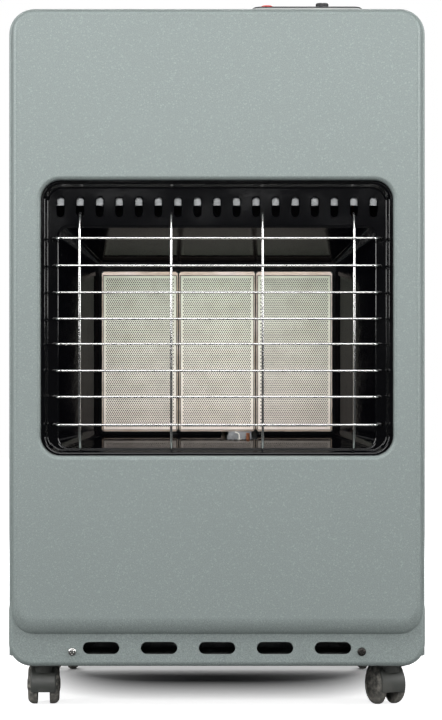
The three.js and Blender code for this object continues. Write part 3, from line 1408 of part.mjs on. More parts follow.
// A bevelled lid with a skirt that enters the casing, a well for the knob and a guide for the button.
function controlConsole() {
  const outline = (inset, radius) =>
    roundedShape(
      CONSOLE_LEFT + inset, CONSOLE_RIGHT - inset, CONSOLE_FRONT + inset, CONSOLE_REAR - inset, radius
    );
  const plate = new THREE.ExtrudeGeometry(outline(CONSOLE_BEVEL, CONSOLE_CORNER), {
    depth: CONSOLE_EDGE,
    bevelThickness: CONSOLE_RISE - CONSOLE_EDGE,
    bevelSize: CONSOLE_BEVEL,
    bevelSegments: 1,
    curveSegments: 4,
  });
  plate.translate(0, 0, CONSOLE_BOTTOM);
  const lowerBevel = slabXY(
    outline(-CONSOLE_BEVEL, CONSOLE_CORNER), CONSOLE_BOTTOM - CONSOLE_RISE - OVERCUT, CONSOLE_BOTTOM
  );
  const edge = CONSOLE_BEVEL + CONSOLE_WALL + FIT;
  const skirtLow = CONSOLE_BOTTOM - CONSOLE_SKIRT;
  const skirt = slabXY(outline(edge, CONSOLE_SKIRT_CORNER), skirtLow, CONSOLE_BOTTOM + OVERCUT, 4);
  const ceiling = CONSOLE_TOP - CONSOLE_WALL;
  const hollowCorner = CONSOLE_SKIRT_CORNER - OVERCUT;
  const hollow = slabXY(outline(edge + CONSOLE_WALL, hollowCorner), skirtLow - OVERCUT, ceiling, 4);
  const wellRadius = KNOB_RADIUS + KNOB_WELL_MARGIN;
  const cup = disc(KNOB_X, wellRadius + CONSOLE_WALL, WELL_FLOOR - CONSOLE_WALL, ceiling + OVERCUT);
  const well = disc(KNOB_X, wellRadius, WELL_FLOOR, CONSOLE_TOP + OVERCUT);
  const bore = disc(KNOB_X, COLLAR_RADIUS + RUN, WELL_FLOOR - CONSOLE_WALL - OVERCUT, CONSOLE_TOP);
  const guide = disc(BUTTON_X, BUTTON_RADIUS + BUTTON_GUIDE_WALL, skirtLow, ceiling + OVERCUT);
  const guideBore = disc(BUTTON_X, BUTTON_RADIUS + RUN, skirtLow - OVERCUT, CONSOLE_TOP + OVERCUT);
  const shell = less(joined(less(solidOf(plate), lowerBevel), skirt), hollow);
  return less(joined(shell, cup, guide), well, bore, guideBore);
}

// A round disc on the line of the knob and the button.
function disc(x, radius, z0, z1) {
  const shape = new THREE.Shape();
  shape.absarc(x, KNOB_Y, radius, 0, 2 * Math.PI);
  return slabXY(shape, z0, z1);
}

function controlBracket() {
  const [front, rear] = [BRACKET_FRONT, BRACKET_REAR];
  const plate = block(BRACKET_LEFT, BRACKET_RIGHT, front, rear, BRACKET_BOTTOM, BRACKET_TOP);
  const footTop = CASE_CEILING - FIT;
  const legs = [BRACKET_LEFT, BRACKET_RIGHT - BRACKET_SHEET].map((x) =>
    block(x, x + BRACKET_SHEET, front, rear, BRACKET_BOTTOM, footTop)
  );
  const feet = [BRACKET_LEFT - BRACKET_FOOT, BRACKET_RIGHT - BRACKET_SHEET].map((x) =>
    block(x, x + BRACKET_FOOT + BRACKET_SHEET, front, rear, footTop - BRACKET_SHEET, footTop)
  );
  const [low, high] = [BRACKET_BOTTOM - OVERCUT, BRACKET_TOP + OVERCUT];
  const neckHole = disc(KNOB_X, VALVE_NECK_RADIUS + FIT, low, high);
  const igniterHole = disc(BUTTON_X, IGNITER_RADIUS - IGNITER_SHOULDER + FIT, low, high);
  return less(joined(plate, ...legs, ...feet), neckHole, igniterHole);
}

function valveBody() {
  const half = VALVE_HALF_WIDTH;
  const shape = roundedShape(
    KNOB_X - half, KNOB_X + half, KNOB_Y - VALVE_HALF_DEPTH, KNOB_Y + VALVE_HALF_DEPTH, VALVE_CORNER
  );
  const body = slabXY(shape, VALVE_BOTTOM, VALVE_TOP, 3);
  const neck = rod([KNOB_X, KNOB_Y, VALVE_TOP - OVERCUT], [KNOB_X, KNOB_Y, NECK_TOP], VALVE_NECK_RADIUS, 20);
  const outlets = OUTLET_XS.map((x) =>
    rod([x, KNOB_Y, OUTLET_BOTTOM], [x, KNOB_Y, VALVE_BOTTOM + OVERCUT], OUTLET_RADIUS, 6)
  );
  const inletY = KNOB_Y + VALVE_HALF_DEPTH;
  const boss = rod(
    [KNOB_X, inletY - OVERCUT, INLET_LEVEL], [KNOB_X, inletY + INLET_LENGTH, INLET_LEVEL], INLET_RADIUS, 12
  );
  const seat = SPINDLE_LOW - KNOB_TRAVEL - RUN;
  const bore = rod([KNOB_X, KNOB_Y, seat], [KNOB_X, KNOB_Y, NECK_TOP + OVERCUT], SPINDLE_RADIUS + RUN, 16);
  return less(joined(body, neck, ...outlets, boss), bore);
}

// A barbed hose nozzle that points to the cylinder compartment.
function inletNozzle() {
  const from = KNOB_Y + VALVE_HALF_DEPTH + INLET_LENGTH + FIT;
  const root = NOZZLE_RADIUS - 1;
  const collar = NOZZLE_COLLAR_RADIUS;
  const profile = [[NOZZLE_BORE, 0], [collar, 0], [collar, NOZZLE_COLLAR], [root, NOZZLE_COLLAR + 1]];
  const pitch = (NOZZLE_LENGTH - NOZZLE_NECK) / NOZZLE_BARBS;
  for (let i = 0; i < NOZZLE_BARBS; i += 1) {
    const start = NOZZLE_NECK + i * pitch;
    profile.push([root, start], [NOZZLE_RADIUS, start + 1], [root, start + pitch]);
  }
  profile.push([NOZZLE_BORE, NOZZLE_LENGTH], [NOZZLE_BORE, 0]);
  const nozzle = turned(profile, 12).rotate(-90, 0, 0);
  return nozzle.translate(KNOB_X, from, INLET_LEVEL);
}

function valveSpindle() {
  return rod([KNOB_X, KNOB_Y, SPINDLE_LOW], [KNOB_X, KNOB_Y, KNOB_TOP - GRIP_SKIN], SPINDLE_RADIUS, 16);
}

function valveCollar() {
  const ring = ringShape(COLLAR_RADIUS, SPINDLE_RADIUS + RUN);
  return slabXY(ring, COLLAR_BOTTOM, COLLAR_BOTTOM + COLLAR_HEIGHT).translate(KNOB_X, KNOB_Y, 0);
}

// A flanged disc under a raised grip bar, bored from below for the spindle.
function controlKnob() {
  const discTop = KNOB_BOTTOM + KNOB_DISC_HEIGHT;
  const profile = [
    [0, KNOB_BOTTOM],
    [KNOB_RADIUS, KNOB_BOTTOM],
    [KNOB_RADIUS, discTop - KNOB_CHAMFER],
    [KNOB_RADIUS - KNOB_CHAMFER, discTop],
    [0, discTop],
  ];
  const flange = turned(profile, 24).translate(KNOB_X, KNOB_Y, 0);
  const [half, reach] = [GRIP_WIDTH / 2, KNOB_RADIUS - GRIP_EDGE];
  const bar = roundedShape(KNOB_X - half, KNOB_X + half, KNOB_Y - reach, KNOB_Y + reach, GRIP_CORNER);
  const grip = new THREE.ExtrudeGeometry(bar, {
    depth: KNOB_TOP - discTop,
    bevelThickness: GRIP_EDGE,
    bevelSize: GRIP_EDGE,
    bevelOffset: -GRIP_EDGE,
    bevelSegments: 2,
    curveSegments: 3,
  });
  grip.translate(0, 0, discTop - GRIP_EDGE);
  const boreTop = KNOB_TOP - GRIP_SKIN + FIT;
  const bore = rod(
    [KNOB_X, KNOB_Y, KNOB_BOTTOM - OVERCUT], [KNOB_X, KNOB_Y, boreTop], SPINDLE_RADIUS + FIT, 16
  );
  return less(joined(flange, solidOf(grip)), bore);
}

// The igniter hangs in the bracket, a shoulder under it and a guide tube above.
function piezoBody() {
  const shoulder = BRACKET_BOTTOM - FIT;
  const collar = IGNITER_BOTTOM + IGNITER_TERMINAL;
  const upper = IGNITER_RADIUS - IGNITER_SHOULDER;
  const boreRadius = BUTTON_STEM_RADIUS + RUN;
  const boreEnd = BUTTON_STEM_END - BUTTON_TRAVEL - RUN;
  const profile = [
    [0, IGNITER_BOTTOM],
    [IGNITER_TERMINAL_RADIUS, IGNITER_BOTTOM],
    [IGNITER_TERMINAL_RADIUS, collar],
    [IGNITER_RADIUS, collar + IGNITER_SHOULDER],
    [IGNITER_RADIUS, shoulder],
    [upper, shoulder],
    [upper, IGNITER_TOP],
    [boreRadius, IGNITER_TOP],
    [boreRadius, boreEnd],
    [0, boreEnd],
  ];
  return turned(profile, 16).translate(BUTTON_X, KNOB_Y, 0);
}

function piezoButton() {
  const top = CONSOLE_TOP + BUTTON_RISE;
  const capLow = IGNITER_TOP + BUTTON_TRAVEL + RUN;
  const profile = [
    [0, BUTTON_STEM_END],
    [BUTTON_STEM_RADIUS, BUTTON_STEM_END],
    [BUTTON_STEM_RADIUS, capLow],
    [BUTTON_RADIUS, capLow],
    [BUTTON_RADIUS, top - BUTTON_EDGE],
    [BUTTON_RADIUS - BUTTON_EDGE / 3, top - BUTTON_EDGE / 3],
    [BUTTON_RADIUS - BUTTON_EDGE, top],
    [0, top],
  ];
  return turned(profile, 20).translate(BUTTON_X, KNOB_Y, 0);
}

// A pan head with a cross recess, on a pointed shank.
function frontScrew(x) {
  const front = BAND_SETBACK - FIT - SCREW_HEAD_HEIGHT;
  const tip = SCREW_HEAD_HEIGHT + SCREW_LENGTH;
  const profile = [
    [0, 0],
    [SCREW_HEAD_RADIUS * 0.65, 0],
    [SCREW_HEAD_RADIUS * 0.92, SCREW_HEAD_HEIGHT / 3],
    [SCREW_HEAD_RADIUS, SCREW_HEAD_HEIGHT],
    [SCREW_SHANK_RADIUS, SCREW_HEAD_HEIGHT],
    [SCREW_SHANK_RADIUS, tip - SCREW_POINT],
    [0, tip],
  ];
  const screw = turned(profile, 16).rotate(-90, 0, 0).translate(x, front, SCREW_LEVEL);
  const [long, thin] = [SCREW_CROSS / 2, SCREW_CROSS_WIDTH / 2];
  const bars = [[long, thin], [thin, long]].map(([wide, high]) =>
    block(
      x - wide, x + wide, front - OVERCUT, front + SCREW_CROSS_DEPTH, SCREW_LEVEL - high, SCREW_LEVEL + high
    )
  );
  return less(screw, ...bars);
}

// ---------- castors ----------

// The castor's own frame: its swivel axis is Z, it trails towards +Y and its axle lies along X.
function castorWheel(side) {
  const bore = AXLE_RADIUS + FIT;
  const profile = [
    [0, WHEEL_OUTER],
    [HUB_RADIUS, WHEEL_OUTER],
    [HUB_RADIUS + HUB_RIM, WHEEL_OUTER - HUB_RISE],
    [WHEEL_DOME_RADIUS, WHEEL_OUTER - WHEEL_DOME_FALL],
    [WHEEL_RADIUS, WHEEL_TREAD_END],
    [WHEEL_RADIUS, WHEEL_INNER],
    [bore, WHEEL_INNER],
    [bore, WHEEL_OUTER - AXLE_CAP],
    [0, WHEEL_OUTER - AXLE_CAP],
  ];
  const wheel = turned(profile, 20).rotate(0, 90, 0);
  const facing = side > 0 ? wheel : wheel.mirror([1, 0, 0]);
  return facing.translate(0, CASTOR_TRAIL, WHEEL_RADIUS);
}

// A bar along the castor's axle line.
function axleBar(x0, x1, radius, sides) {
  return rod([x0, CASTOR_TRAIL, WHEEL_RADIUS], [x1, CASTOR_TRAIL, WHEEL_RADIUS], radius, sides);
}

function castorAxle() {
  const end = WHEEL_OUTER - AXLE_CAP - FIT;
  return axleBar(-end, end, AXLE_RADIUS, 12);
}

function arcPoint(radius, degrees) {
  const angle = THREE.MathUtils.degToRad(degrees);
  return [CASTOR_TRAIL - radius * Math.cos(angle), WHEEL_RADIUS + radius * Math.sin(angle)];
}

// The curved hood over both wheels, drawn in Y and Z as a strip of an arc.
function hoodStrip(outer, inner, from, to, steps) {
  const shape = new THREE.Shape();
  const at = (i) => from + ((to - from) * i) / steps;
  shape.moveTo(...arcPoint(outer, from));
  for (let i = 1; i <= steps; i += 1) shape.lineTo(...arcPoint(outer, at(i)));
  for (let i = steps; i >= 0; i -= 1) shape.lineTo(...arcPoint(inner, at(i)));
  shape.closePath();
  return shape;
}

function castorHood() {
  const inner = HOOD_RADIUS - HOOD_WALL;
  const arc = hoodStrip(HOOD_RADIUS, inner, HOOD_FRONT_ANGLE, HOOD_REAR_ANGLE, 9);
  const hood = slabYZ(arc, -HOOD_HALF_WIDTH, HOOD_HALF_WIDTH);
  const webArc = hoodStrip(HOOD_RADIUS - HOOD_WALL / 4, HOOD_WALL / 4, WEB_FRONT_ANGLE, HOOD_REAR_ANGLE, 6);
  const web = slabYZ(webArc, -HOOD_WEB, HOOD_WEB);
  const boss = axleBar(-HOOD_WEB, HOOD_WEB, AXLE_RADIUS + AXLE_BOSS_WALL, 12);
  const bore = axleBar(-HOOD_WEB - OVERCUT, HOOD_WEB + OVERCUT, AXLE_RADIUS + FIT, 12);
  const shoulderLow = WHEEL_RADIUS + SHOULDER_ABOVE_AXLE;
  const shoulder = rod([0, 0, shoulderLow], [0, 0, HOOD_TOP - OVERCUT], SHOULDER_RADIUS, 12);
  const neck = rod([0, 0, HOOD_TOP - HOOD_WALL], [0, 0, SOCKET_BOTTOM - FIT], NECK_RADIUS, 12);
  const stem = rod([0, 0, HOOD_TOP], [0, 0, SOCKET_TOP - FIT], STEM_RADIUS, 12);
  const tyres = [-1, 1].map((side) => wheelSpace(side));
  return less(joined(hood, web, boss, shoulder, neck, stem), bore, ...tyres);
}

// The room that a wheel turns in, with its running clearance.
function wheelSpace(side) {
  const from = side * (WHEEL_INNER - FIT);
  const to = side * (WHEEL_OUTER + AXLE_CAP);
  return axleBar(from, to, WHEEL_RADIUS + WHEEL_ROOM, 18);
}

function castorSocket() {
  const half = SOCKET_HALF_WIDTH;
  const outline = roundedShape(-half, half, -half, half, SOCKET_CORNER);
  const plate = slabXY(outline, SOCKET_TOP - SOCKET_PLATE, SOCKET_TOP, 2);
  const boss = rod([0, 0, SOCKET_BOTTOM], [0, 0, SOCKET_TOP - OVERCUT], SOCKET_RADIUS, 12);
  const bore = rod(
    [0, 0, SOCKET_BOTTOM - OVERCUT], [0, 0, SOCKET_TOP + OVERCUT], STEM_RADIUS + RUN, 12
  );
  return less(joined(plate, boss), bore);
}

const CASTORS = [
  { name: "front_left", x: -CASTOR_X, y: CASTOR_FRONT, swivel: 2 },
  { name: "front_right", x: CASTOR_X, y: CASTOR_FRONT, swivel: 20 },
  { name: "rear_left", x: -CASTOR_X, y: CASTOR_REAR, swivel: -12 },
  { name: "rear_right", x: CASTOR_X, y: CASTOR_REAR, swivel: 8 },
];

function placeCastor({ name, x, y, swivel }) {
  const corner = new THREE.Group();
  corner.position.set(x, y, 0);
  const turning = new THREE.Group();
  turning.rotation.z = THREE.MathUtils.degToRad(swivel);
  corner.add(turning);
  heater.add(corner);
  place(`castor_socket_${name}`, castorSocket(), "galvanised", corner);
  place(`castor_hood_${name}`, castorHood(), "castorPlastic", turning);
  place(`castor_axle_${name}`, castorAxle(), "castMetal", turning);
  place(`castor_wheel_${name}_a`, castorWheel(-1), "castorPlastic", turning);
  place(`castor_wheel_${name}_b`, castorWheel(1), "castorPlastic", turning);
}

// ---------- assembly ----------

place("front_panel", frontPanel(), "powderCoat");
place("casing_wrap", casingWrap(), "powderCoat");
place("base_pan", basePan(), "galvanised");
place("bulkhead", bulkhead(), "galvanised");
place("heat_shield", heatShield(), "galvanised");
place("rear_cover", rearCover(), "powderCoat");
place("front_screw_left", frontScrew(-SCREW_X), "chrome");
place("front_screw_right", frontScrew(SCREW_X), "darkScrew");

place("burner_surround", burnerSurround(), "enamel");
place("guard_grille", guardGrille(), "chrome");
const BURNER_SIDES = [["left", -PLAQUE_PITCH], ["centre", 0], ["right", PLAQUE_PITCH]];
for (const [side, x] of BURNER_SIDES) {
  place(`ceramic_plaque_${side}`, plaque(x), "ceramic");
  place(`burner_body_${side}`, burnerBody(x), "burnerSteel");
}
place("centre_injector", centreInjector(), "brass");
place("side_injector_rail", sideInjectorRail(), "brass");
place("pilot_burner", pilotBurner(), "castMetal");
place("spark_electrode", sparkElectrode(), "whiteCeramic");
place("thermocouple_lead", thermocoupleLead(), "copper");
place("pilot_pipe", pilotPipe(), "castMetal");
place("centre_burner_pipe", centreBurnerPipe(), "castMetal");
place("side_burner_pipe", sideBurnerPipe(), "castMetal");
place("ignition_lead", ignitionLead(), "leadRubber");

place("control_console", controlConsole(), "blackPlastic");
place("control_bracket", controlBracket(), "galvanised");
place("control_knob", controlKnob(), "blackPlastic");
place("valve_spindle", valveSpindle(), "brass");
place("valve_collar", valveCollar(), "brass");
place("valve_body", valveBody(), "castMetal");
place("inlet_nozzle", inletNozzle(), "brass");
place("piezo_body", piezoBody(), "blackPlastic");
place("piezo_button", piezoButton(), "redPlastic");

CASTORS.forEach(placeCastor);

heater.position.y = -MIDDLE;

export default heater;
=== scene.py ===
"""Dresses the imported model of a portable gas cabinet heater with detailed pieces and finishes."""

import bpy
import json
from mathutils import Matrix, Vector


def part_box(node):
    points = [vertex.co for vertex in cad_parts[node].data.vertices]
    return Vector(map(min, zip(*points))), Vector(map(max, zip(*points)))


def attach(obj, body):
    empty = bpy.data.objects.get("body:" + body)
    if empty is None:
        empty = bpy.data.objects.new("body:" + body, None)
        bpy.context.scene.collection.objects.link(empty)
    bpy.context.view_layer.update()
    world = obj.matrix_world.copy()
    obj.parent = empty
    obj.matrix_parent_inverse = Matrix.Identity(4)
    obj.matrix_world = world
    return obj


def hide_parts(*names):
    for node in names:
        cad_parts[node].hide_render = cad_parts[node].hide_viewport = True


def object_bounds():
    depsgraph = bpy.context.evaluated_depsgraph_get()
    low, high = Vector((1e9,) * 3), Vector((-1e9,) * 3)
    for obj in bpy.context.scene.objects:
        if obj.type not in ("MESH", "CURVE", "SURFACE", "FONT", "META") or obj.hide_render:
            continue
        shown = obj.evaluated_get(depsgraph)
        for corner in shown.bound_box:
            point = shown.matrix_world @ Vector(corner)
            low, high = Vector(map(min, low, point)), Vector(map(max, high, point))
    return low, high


bl_info = {
    "name": "Gas Cabinet Heater",
    "version": (1, 0, 0),
    "blender": (4, 5, 0),
    "location": "3D View > Sidebar > Heater",
    "description": "Models the casing, burner, guard, controls and castors of a gas cabinet heater",
    "category": "Add Mesh",
}

import json
import math
from contextlib import contextmanager
from typing import NamedTuple

import bmesh
import bpy
from mathutils import Vector

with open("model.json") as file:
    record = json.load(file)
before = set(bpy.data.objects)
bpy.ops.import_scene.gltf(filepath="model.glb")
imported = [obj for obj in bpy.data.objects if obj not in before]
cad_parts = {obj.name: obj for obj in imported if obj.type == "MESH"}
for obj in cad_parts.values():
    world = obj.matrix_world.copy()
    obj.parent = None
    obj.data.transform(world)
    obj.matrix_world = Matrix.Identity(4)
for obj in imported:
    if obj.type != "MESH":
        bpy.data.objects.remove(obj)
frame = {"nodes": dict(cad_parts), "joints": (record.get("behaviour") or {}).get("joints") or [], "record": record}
CAD_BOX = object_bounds()

PANEL_LOW, PANEL_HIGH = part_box("front_panel")
FACE = PANEL_LOW.y  # the raised face of the front panel
PLAQUE_LOW, PLAQUE_TOP = (corner.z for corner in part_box("ceramic_plaque_centre"))
HAIR = 1e-5  # how close a point has to lie to count as being on a line
THROUGH = 0.001  # how far a cutter reaches past what it cuts
PAST_FLOOR = 0.1  # how far the outline of an open-bottomed shell runs on below its cut
NEARLY = 0.999  # a slot's corner radius as a share of its half width
CORNER_STEPS = 10  # facets on a pressed corner
ROUND_STEPS = 6  # facets across a pressed edge
FOLD_STEPS = 4  # facets across a folded or flared edge
SLOT_STEPS = 8  # facets on each corner of a slot
VENT_STEPS = 6  # facets on each corner of a vent
WIRE_STEPS = 5  # facets along each bend of a wire
WIRE_RESOLUTION = 2  # gives a wire eight sides
ORIGIN = (0, 0, 0)
CASTORS = ("front_left", "front_right", "rear_left", "rear_right")
BURNERS = ("left", "centre", "right")
GUARD_REACH = 0.1672  # from the middle to the ends of the cross wires
GUARD_LEVELS = (0.2907, 0.3191, 0.3456, 0.3728, 0.3984, 0.4252, 0.4525, 0.4803)
VENT_SLACK = 0.00225  # how far off a vent's middle a guard wire can still end inside the vent
WELD_DEPTH = 0.0005  # how far the crossing guard wires are sunk into each other
GUARD_UPRIGHTS = (-0.1395, -0.0465, 0.0465, 0.1395)
HOOKS = [(x, z) for x in (-0.204, 0.204) for z in (0.190, 0.590)]  # the rear cover's tabs


def behind(distance):
    """The place in the frame that lies this far behind the raised face."""
    return FACE + distance


# ---------- working on pieces ----------


def deselect_all():
    bpy.ops.object.select_all(action="DESELECT")


def make_active(*pieces):
    deselect_all()
    for piece in pieces:
        piece.select_set(True)
    bpy.context.view_layer.objects.active = pieces[0]
    return pieces[0]


@contextmanager
def editing(piece, kind="FACE", chosen="NONE"):
    """Edit mode on one piece, with nothing selected or with all of it."""
    make_active(piece)
    bpy.ops.object.mode_set(mode="EDIT")
    bpy.ops.mesh.select_mode(type=kind)
    bpy.ops.mesh.select_all(action="SELECT" if chosen == "ALL" else "DESELECT")
    yield
    bpy.ops.object.mode_set(mode="OBJECT")


def edited_mesh():
    return bmesh.from_edit_mesh(bpy.context.object.data)


def choose_points(test):
    mesh = edited_mesh()
    for vert in mesh.verts:
        vert.select_set(test(vert.co))
    mesh.select_flush_mode()
    bmesh.update_edit_mesh(bpy.context.object.data)


def choose_edges(test):
    """Selects each edge whose two ends both pass the test."""
    mesh = edited_mesh()
    for edge in mesh.edges:
        edge.select_set(all(test(vert.co) for vert in edge.verts))
    bmesh.update_edit_mesh(bpy.context.object.data)


def choose_faces(test):
    """Selects each face that passes a test of its middle and its normal."""
    mesh = edited_mesh()
    for face in mesh.faces:
        face.select_set(test(face.calc_center_median(), face.normal))
    bmesh.update_edit_mesh(bpy.context.object.data)


def apply_modifier(piece, kind, **settings):
    make_active(piece)
    bpy.ops.object.modifier_add(type=kind)
    modifier = piece.modifiers[-1]
    for name, value in settings.items():
        setattr(modifier, name, value)
    bpy.ops.object.modifier_apply(modifier=modifier.name)


def join(*pieces):
    if len(pieces) > 1:
        make_active(*pieces)
        bpy.ops.object.join()
    return pieces[0]


def weld(piece):
    with editing(piece, "VERT", "ALL"):
        bpy.ops.mesh.remove_doubles(threshold=HAIR / 4)
    return piece


def face_outwards(piece):
    with editing(piece, "FACE", "ALL"):
        bpy.ops.mesh.normals_make_consistent(inside=False)
    return piece


def combine(piece, others, operation):
    other = join(*others)
    apply_modifier(piece, "BOOLEAN", operation=operation, solver="EXACT", object=other)
    bpy.data.objects.remove(other)
    return piece


def cut(piece, *cutters):
    return combine(piece, cutters, "DIFFERENCE")


def unite(piece, *others):
    return combine(piece, others, "UNION")


def thicken(piece, thickness):
    """Gives an open skin a wall on the side away from its normals."""
    apply_modifier(piece, "SOLIDIFY", thickness=thickness, offset=-1, use_even_offset=True)
    return piece


def copy_of(piece):
    make_active(piece)
    bpy.ops.object.duplicate(linked=False)
    return bpy.context.object


def shift(piece, x=0.0, y=0.0, z=0.0):
    """Moves the mesh and leaves the object at the origin."""
    with editing(piece, "VERT", "ALL"):
        bpy.ops.transform.translate(value=(x, y, z))
    return piece


def tilted(piece, angle, axis):
    """Turns a mesh about an axis through the origin, anticlockwise seen from the axis's end."""
    with editing(piece, "VERT", "ALL"):
        bpy.ops.transform.rotate(value=-angle, orient_axis=axis, center_override=ORIGIN)
    return piece


def bevelled(piece, test, width, steps, clamped=False):
    """Rounds the edges whose two ends pass the test."""
    with editing(piece, "EDGE"):
        choose_edges(test)
        bpy.ops.mesh.bevel(offset=width, segments=steps, affect="EDGES", clamp_overlap=clamped)
    return piece


def kept_side(piece, place, direction, fill=False):
    """Cuts a piece in a plane and keeps what lies in one direction from it."""
    with editing(piece, "FACE", "ALL"):
        bpy.ops.mesh.bisect(
            plane_co=place, plane_no=direction, clear_inner=True, clear_outer=False, use_fill=fill
        )
    return piece


def repeated(piece, count, step):
    """Repeats a piece along a line, as one mesh."""
    apply_modifier(
        piece, "ARRAY", count=count, use_relative_offset=False, use_constant_offset=True,
        constant_offset_displace=step,
    )
    return piece


def row_of(piece, count, pitch):
    """A piece and its copies along X."""
    return [piece] + [shift(copy_of(piece), i * pitch) for i in range(1, count)]


def finished(piece, name, finish, body, *nodes, angle=32, weighted=True):
    """Names a piece, shades it, gives it its finish and ties it to the frame."""
    make_active(piece)
    bpy.ops.object.shade_smooth_by_angle(angle=math.radians(angle))
    if weighted:
        apply_modifier(piece, "WEIGHTED_NORMAL", keep_sharp=True)
    piece.name = name
    piece.data.name = name
    piece.data.materials.clear()
    piece.data.materials.append(material_for(finish))
    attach(piece, body)
    if nodes:
        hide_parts(*nodes)
    return piece


# ---------- outlines and the walls between them ----------


def quarter_turn(steps):
    """The sine and the cosine of each angle from 0 to 90 degrees."""
    for i in range(steps + 1):
        angle = math.pi / 2 * i / steps
        yield math.sin(angle), math.cos(angle)


class Outline(NamedTuple):
    """A rounded rectangle that stands upright and faces forward."""

    half_width: float
    low: float
    high: float
    corner: float
    y: float
    middle: float = 0.0

    def grown(self, outwards, back=0.0):
        return self._replace(
            half_width=self.half_width + outwards,
            low=self.low - outwards,
            high=self.high + outwards,
            corner=self.corner + outwards,
            y=self.y + back,
        )

    def distance(self, point):
        """How far a point lies outside the outline, seen from the front."""
        x = abs(point.x - self.middle) - self.half_width + self.corner
        z = abs(point.z - (self.low + self.high) / 2) - (self.high - self.low) / 2 + self.corner
        outside = math.hypot(max(x, 0), max(z, 0))
        return outside + min(max(x, z), 0) - self.corner

    def holds(self, point):
        return abs(point.y - self.y) < HAIR and abs(self.distance(point)) < 2 * HAIR


def stretch(size, middle):
    """Stretches what is chosen about the origin and then moves it."""
    bpy.ops.transform.resize(value=size, center_override=ORIGIN)
    bpy.ops.transform.translate(value=middle)


def upright_square():
    """A square of side 1 about the origin, facing forward."""
    deselect_all()
    bpy.ops.mesh.primitive_plane_add(size=1, rotation=(math.pi / 2, 0, 0))
    bpy.ops.object.transform_apply(location=True, rotation=True, scale=True)
    return bpy.context.object


def drawn(line, steps=CORNER_STEPS):
    """The outline as one flat face."""
    piece = upright_square()
    with editing(piece, "VERT", "ALL"):
        middle = (line.middle, line.y, (line.low + line.high) / 2)
        stretch((2 * line.half_width, 1, line.high - line.low), middle)
        bpy.ops.mesh.bevel(offset=line.corner, segments=steps, affect="VERTICES")
    return piece


def walls(lines, steps=CORNER_STEPS):
    """An open shell that runs from each outline to the next."""
    strips = []
    for near, far in zip(lines, lines[1:]):
        strip = join(drawn(near, steps), drawn(far, steps))
        with editing(strip, "FACE", "ALL"):
            bpy.ops.mesh.delete(type="ONLY_FACE")
            bpy.ops.mesh.select_mode(type="EDGE")
            bpy.ops.mesh.select_all(action="SELECT")
            bpy.ops.mesh.bridge_edge_loops()
        strips.append(strip)
    return weld(join(*strips))


def fill(piece, line):
    with editing(piece, "EDGE"):
        choose_edges(line.holds)
        bpy.ops.mesh.edge_face_add()


def lofted(lines, steps=CORNER_STEPS):
    """A closed body through the outlines, flat at both ends."""
    body = walls(lines, steps)
    fill(body, lines[0])
    fill(body, lines[-1])
    return face_outwards(body)


def plug(line, depth):
    """A straight closed body for cutting an opening of this outline."""
    return lofted([line._replace(y=line.y - THROUGH), line._replace(y=line.y + depth)], SLOT_STEPS)


def box(low, high):
    """A closed box between two corners, for cutting or joining."""
    deselect_all()
    bpy.ops.mesh.primitive_cube_add(size=1)
    piece = bpy.context.object
    with editing(piece, "VERT", "ALL"):
        stretch([b - a for a, b in zip(low, high)], [(a + b) / 2 for a, b in zip(low, high)])
    return piece


def rounded_slab(low, high, corner, edge, steps=8, edge_steps=5):
    """A box with rounded upright edges and, if edge isn't 0, a rounded top edge."""
    slab = box(low, high)
    with editing(slab, "EDGE"):
        mesh = edited_mesh()
        for side in mesh.edges:
            side.select_set(abs(side.verts[0].co.z - side.verts[1].co.z) > HAIR)
        bmesh.update_edit_mesh(slab.data)
        bpy.ops.mesh.bevel(offset=corner, segments=steps, affect="EDGES")
    if edge:
        bevelled(slab, lambda co: abs(co.z - high[2]) < HAIR, edge, edge_steps)
    return slab


def drum(middle, radius, length, axis="Z", sides=32):
    """A cylinder about a point, along one axis of the frame."""
    turn = {"X": (0, math.pi / 2, 0), "Y": (math.pi / 2, 0, 0), "Z": (0, 0, 0)}[axis]
    deselect_all()
    bpy.ops.mesh.primitive_cylinder_add(
        vertices=sides, radius=radius, depth=length, location=middle, rotation=turn
    )
    bpy.ops.object.transform_apply(location=True, rotation=True, scale=True)
    return bpy.context.object


def line_through(points):
    """A line of edges from point to point."""
    deselect_all()
    bpy.ops.mesh.primitive_plane_add(size=1)
    piece = bpy.context.object
    with editing(piece, "VERT", "ALL"):
        bpy.ops.mesh.merge(type="CENTER")
        bpy.ops.mesh.select_all(action="SELECT")
        bpy.ops.transform.translate(value=points[0])
        for here, there in zip(points, points[1:]):
            step = [b - a for a, b in zip(here, there)]
            bpy.ops.mesh.extrude_region_move(TRANSFORM_OT_translate={"value": step})
    return piece


def turned(profile, sides, place=ORIGIN):
    """A body turned about Z from points (radius, height), given from the axis outwards."""
    piece = line_through([(radius, 0, height) for radius, height in profile])
    with editing(piece, "VERT", "ALL"):
        bpy.ops.mesh.spin(steps=sides, angle=2 * math.pi, center=ORIGIN, axis=(0, 0, 1))
    return shift(face_outwards(weld(piece)), *place)


def wire(corners, radius, bend):
    """A round bar through the corners, bent evenly at each one between its ends."""
    points = [Vector(corner) for corner in corners]
    piece = line_through(points)
    with editing(piece, "VERT"):
        for before, here, after in zip(points, points[1:], points[2:]):
            turn = (here - before).angle(after - here)
            choose_points(lambda co, here=here: (co - here).length < HAIR)
            bpy.ops.mesh.bevel(
                offset=bend * math.tan(turn / 2), segments=WIRE_STEPS, affect="VERTICES"
            )
    bpy.ops.object.convert(target="CURVE")
    curve = bpy.context.object.data
    curve.bevel_depth = radius
    curve.bevel_resolution = WIRE_RESOLUTION
    curve.use_fill_caps = True
    bpy.ops.object.convert(target="MESH")
    return weld(bpy.context.object)


# ---------- finishes ----------


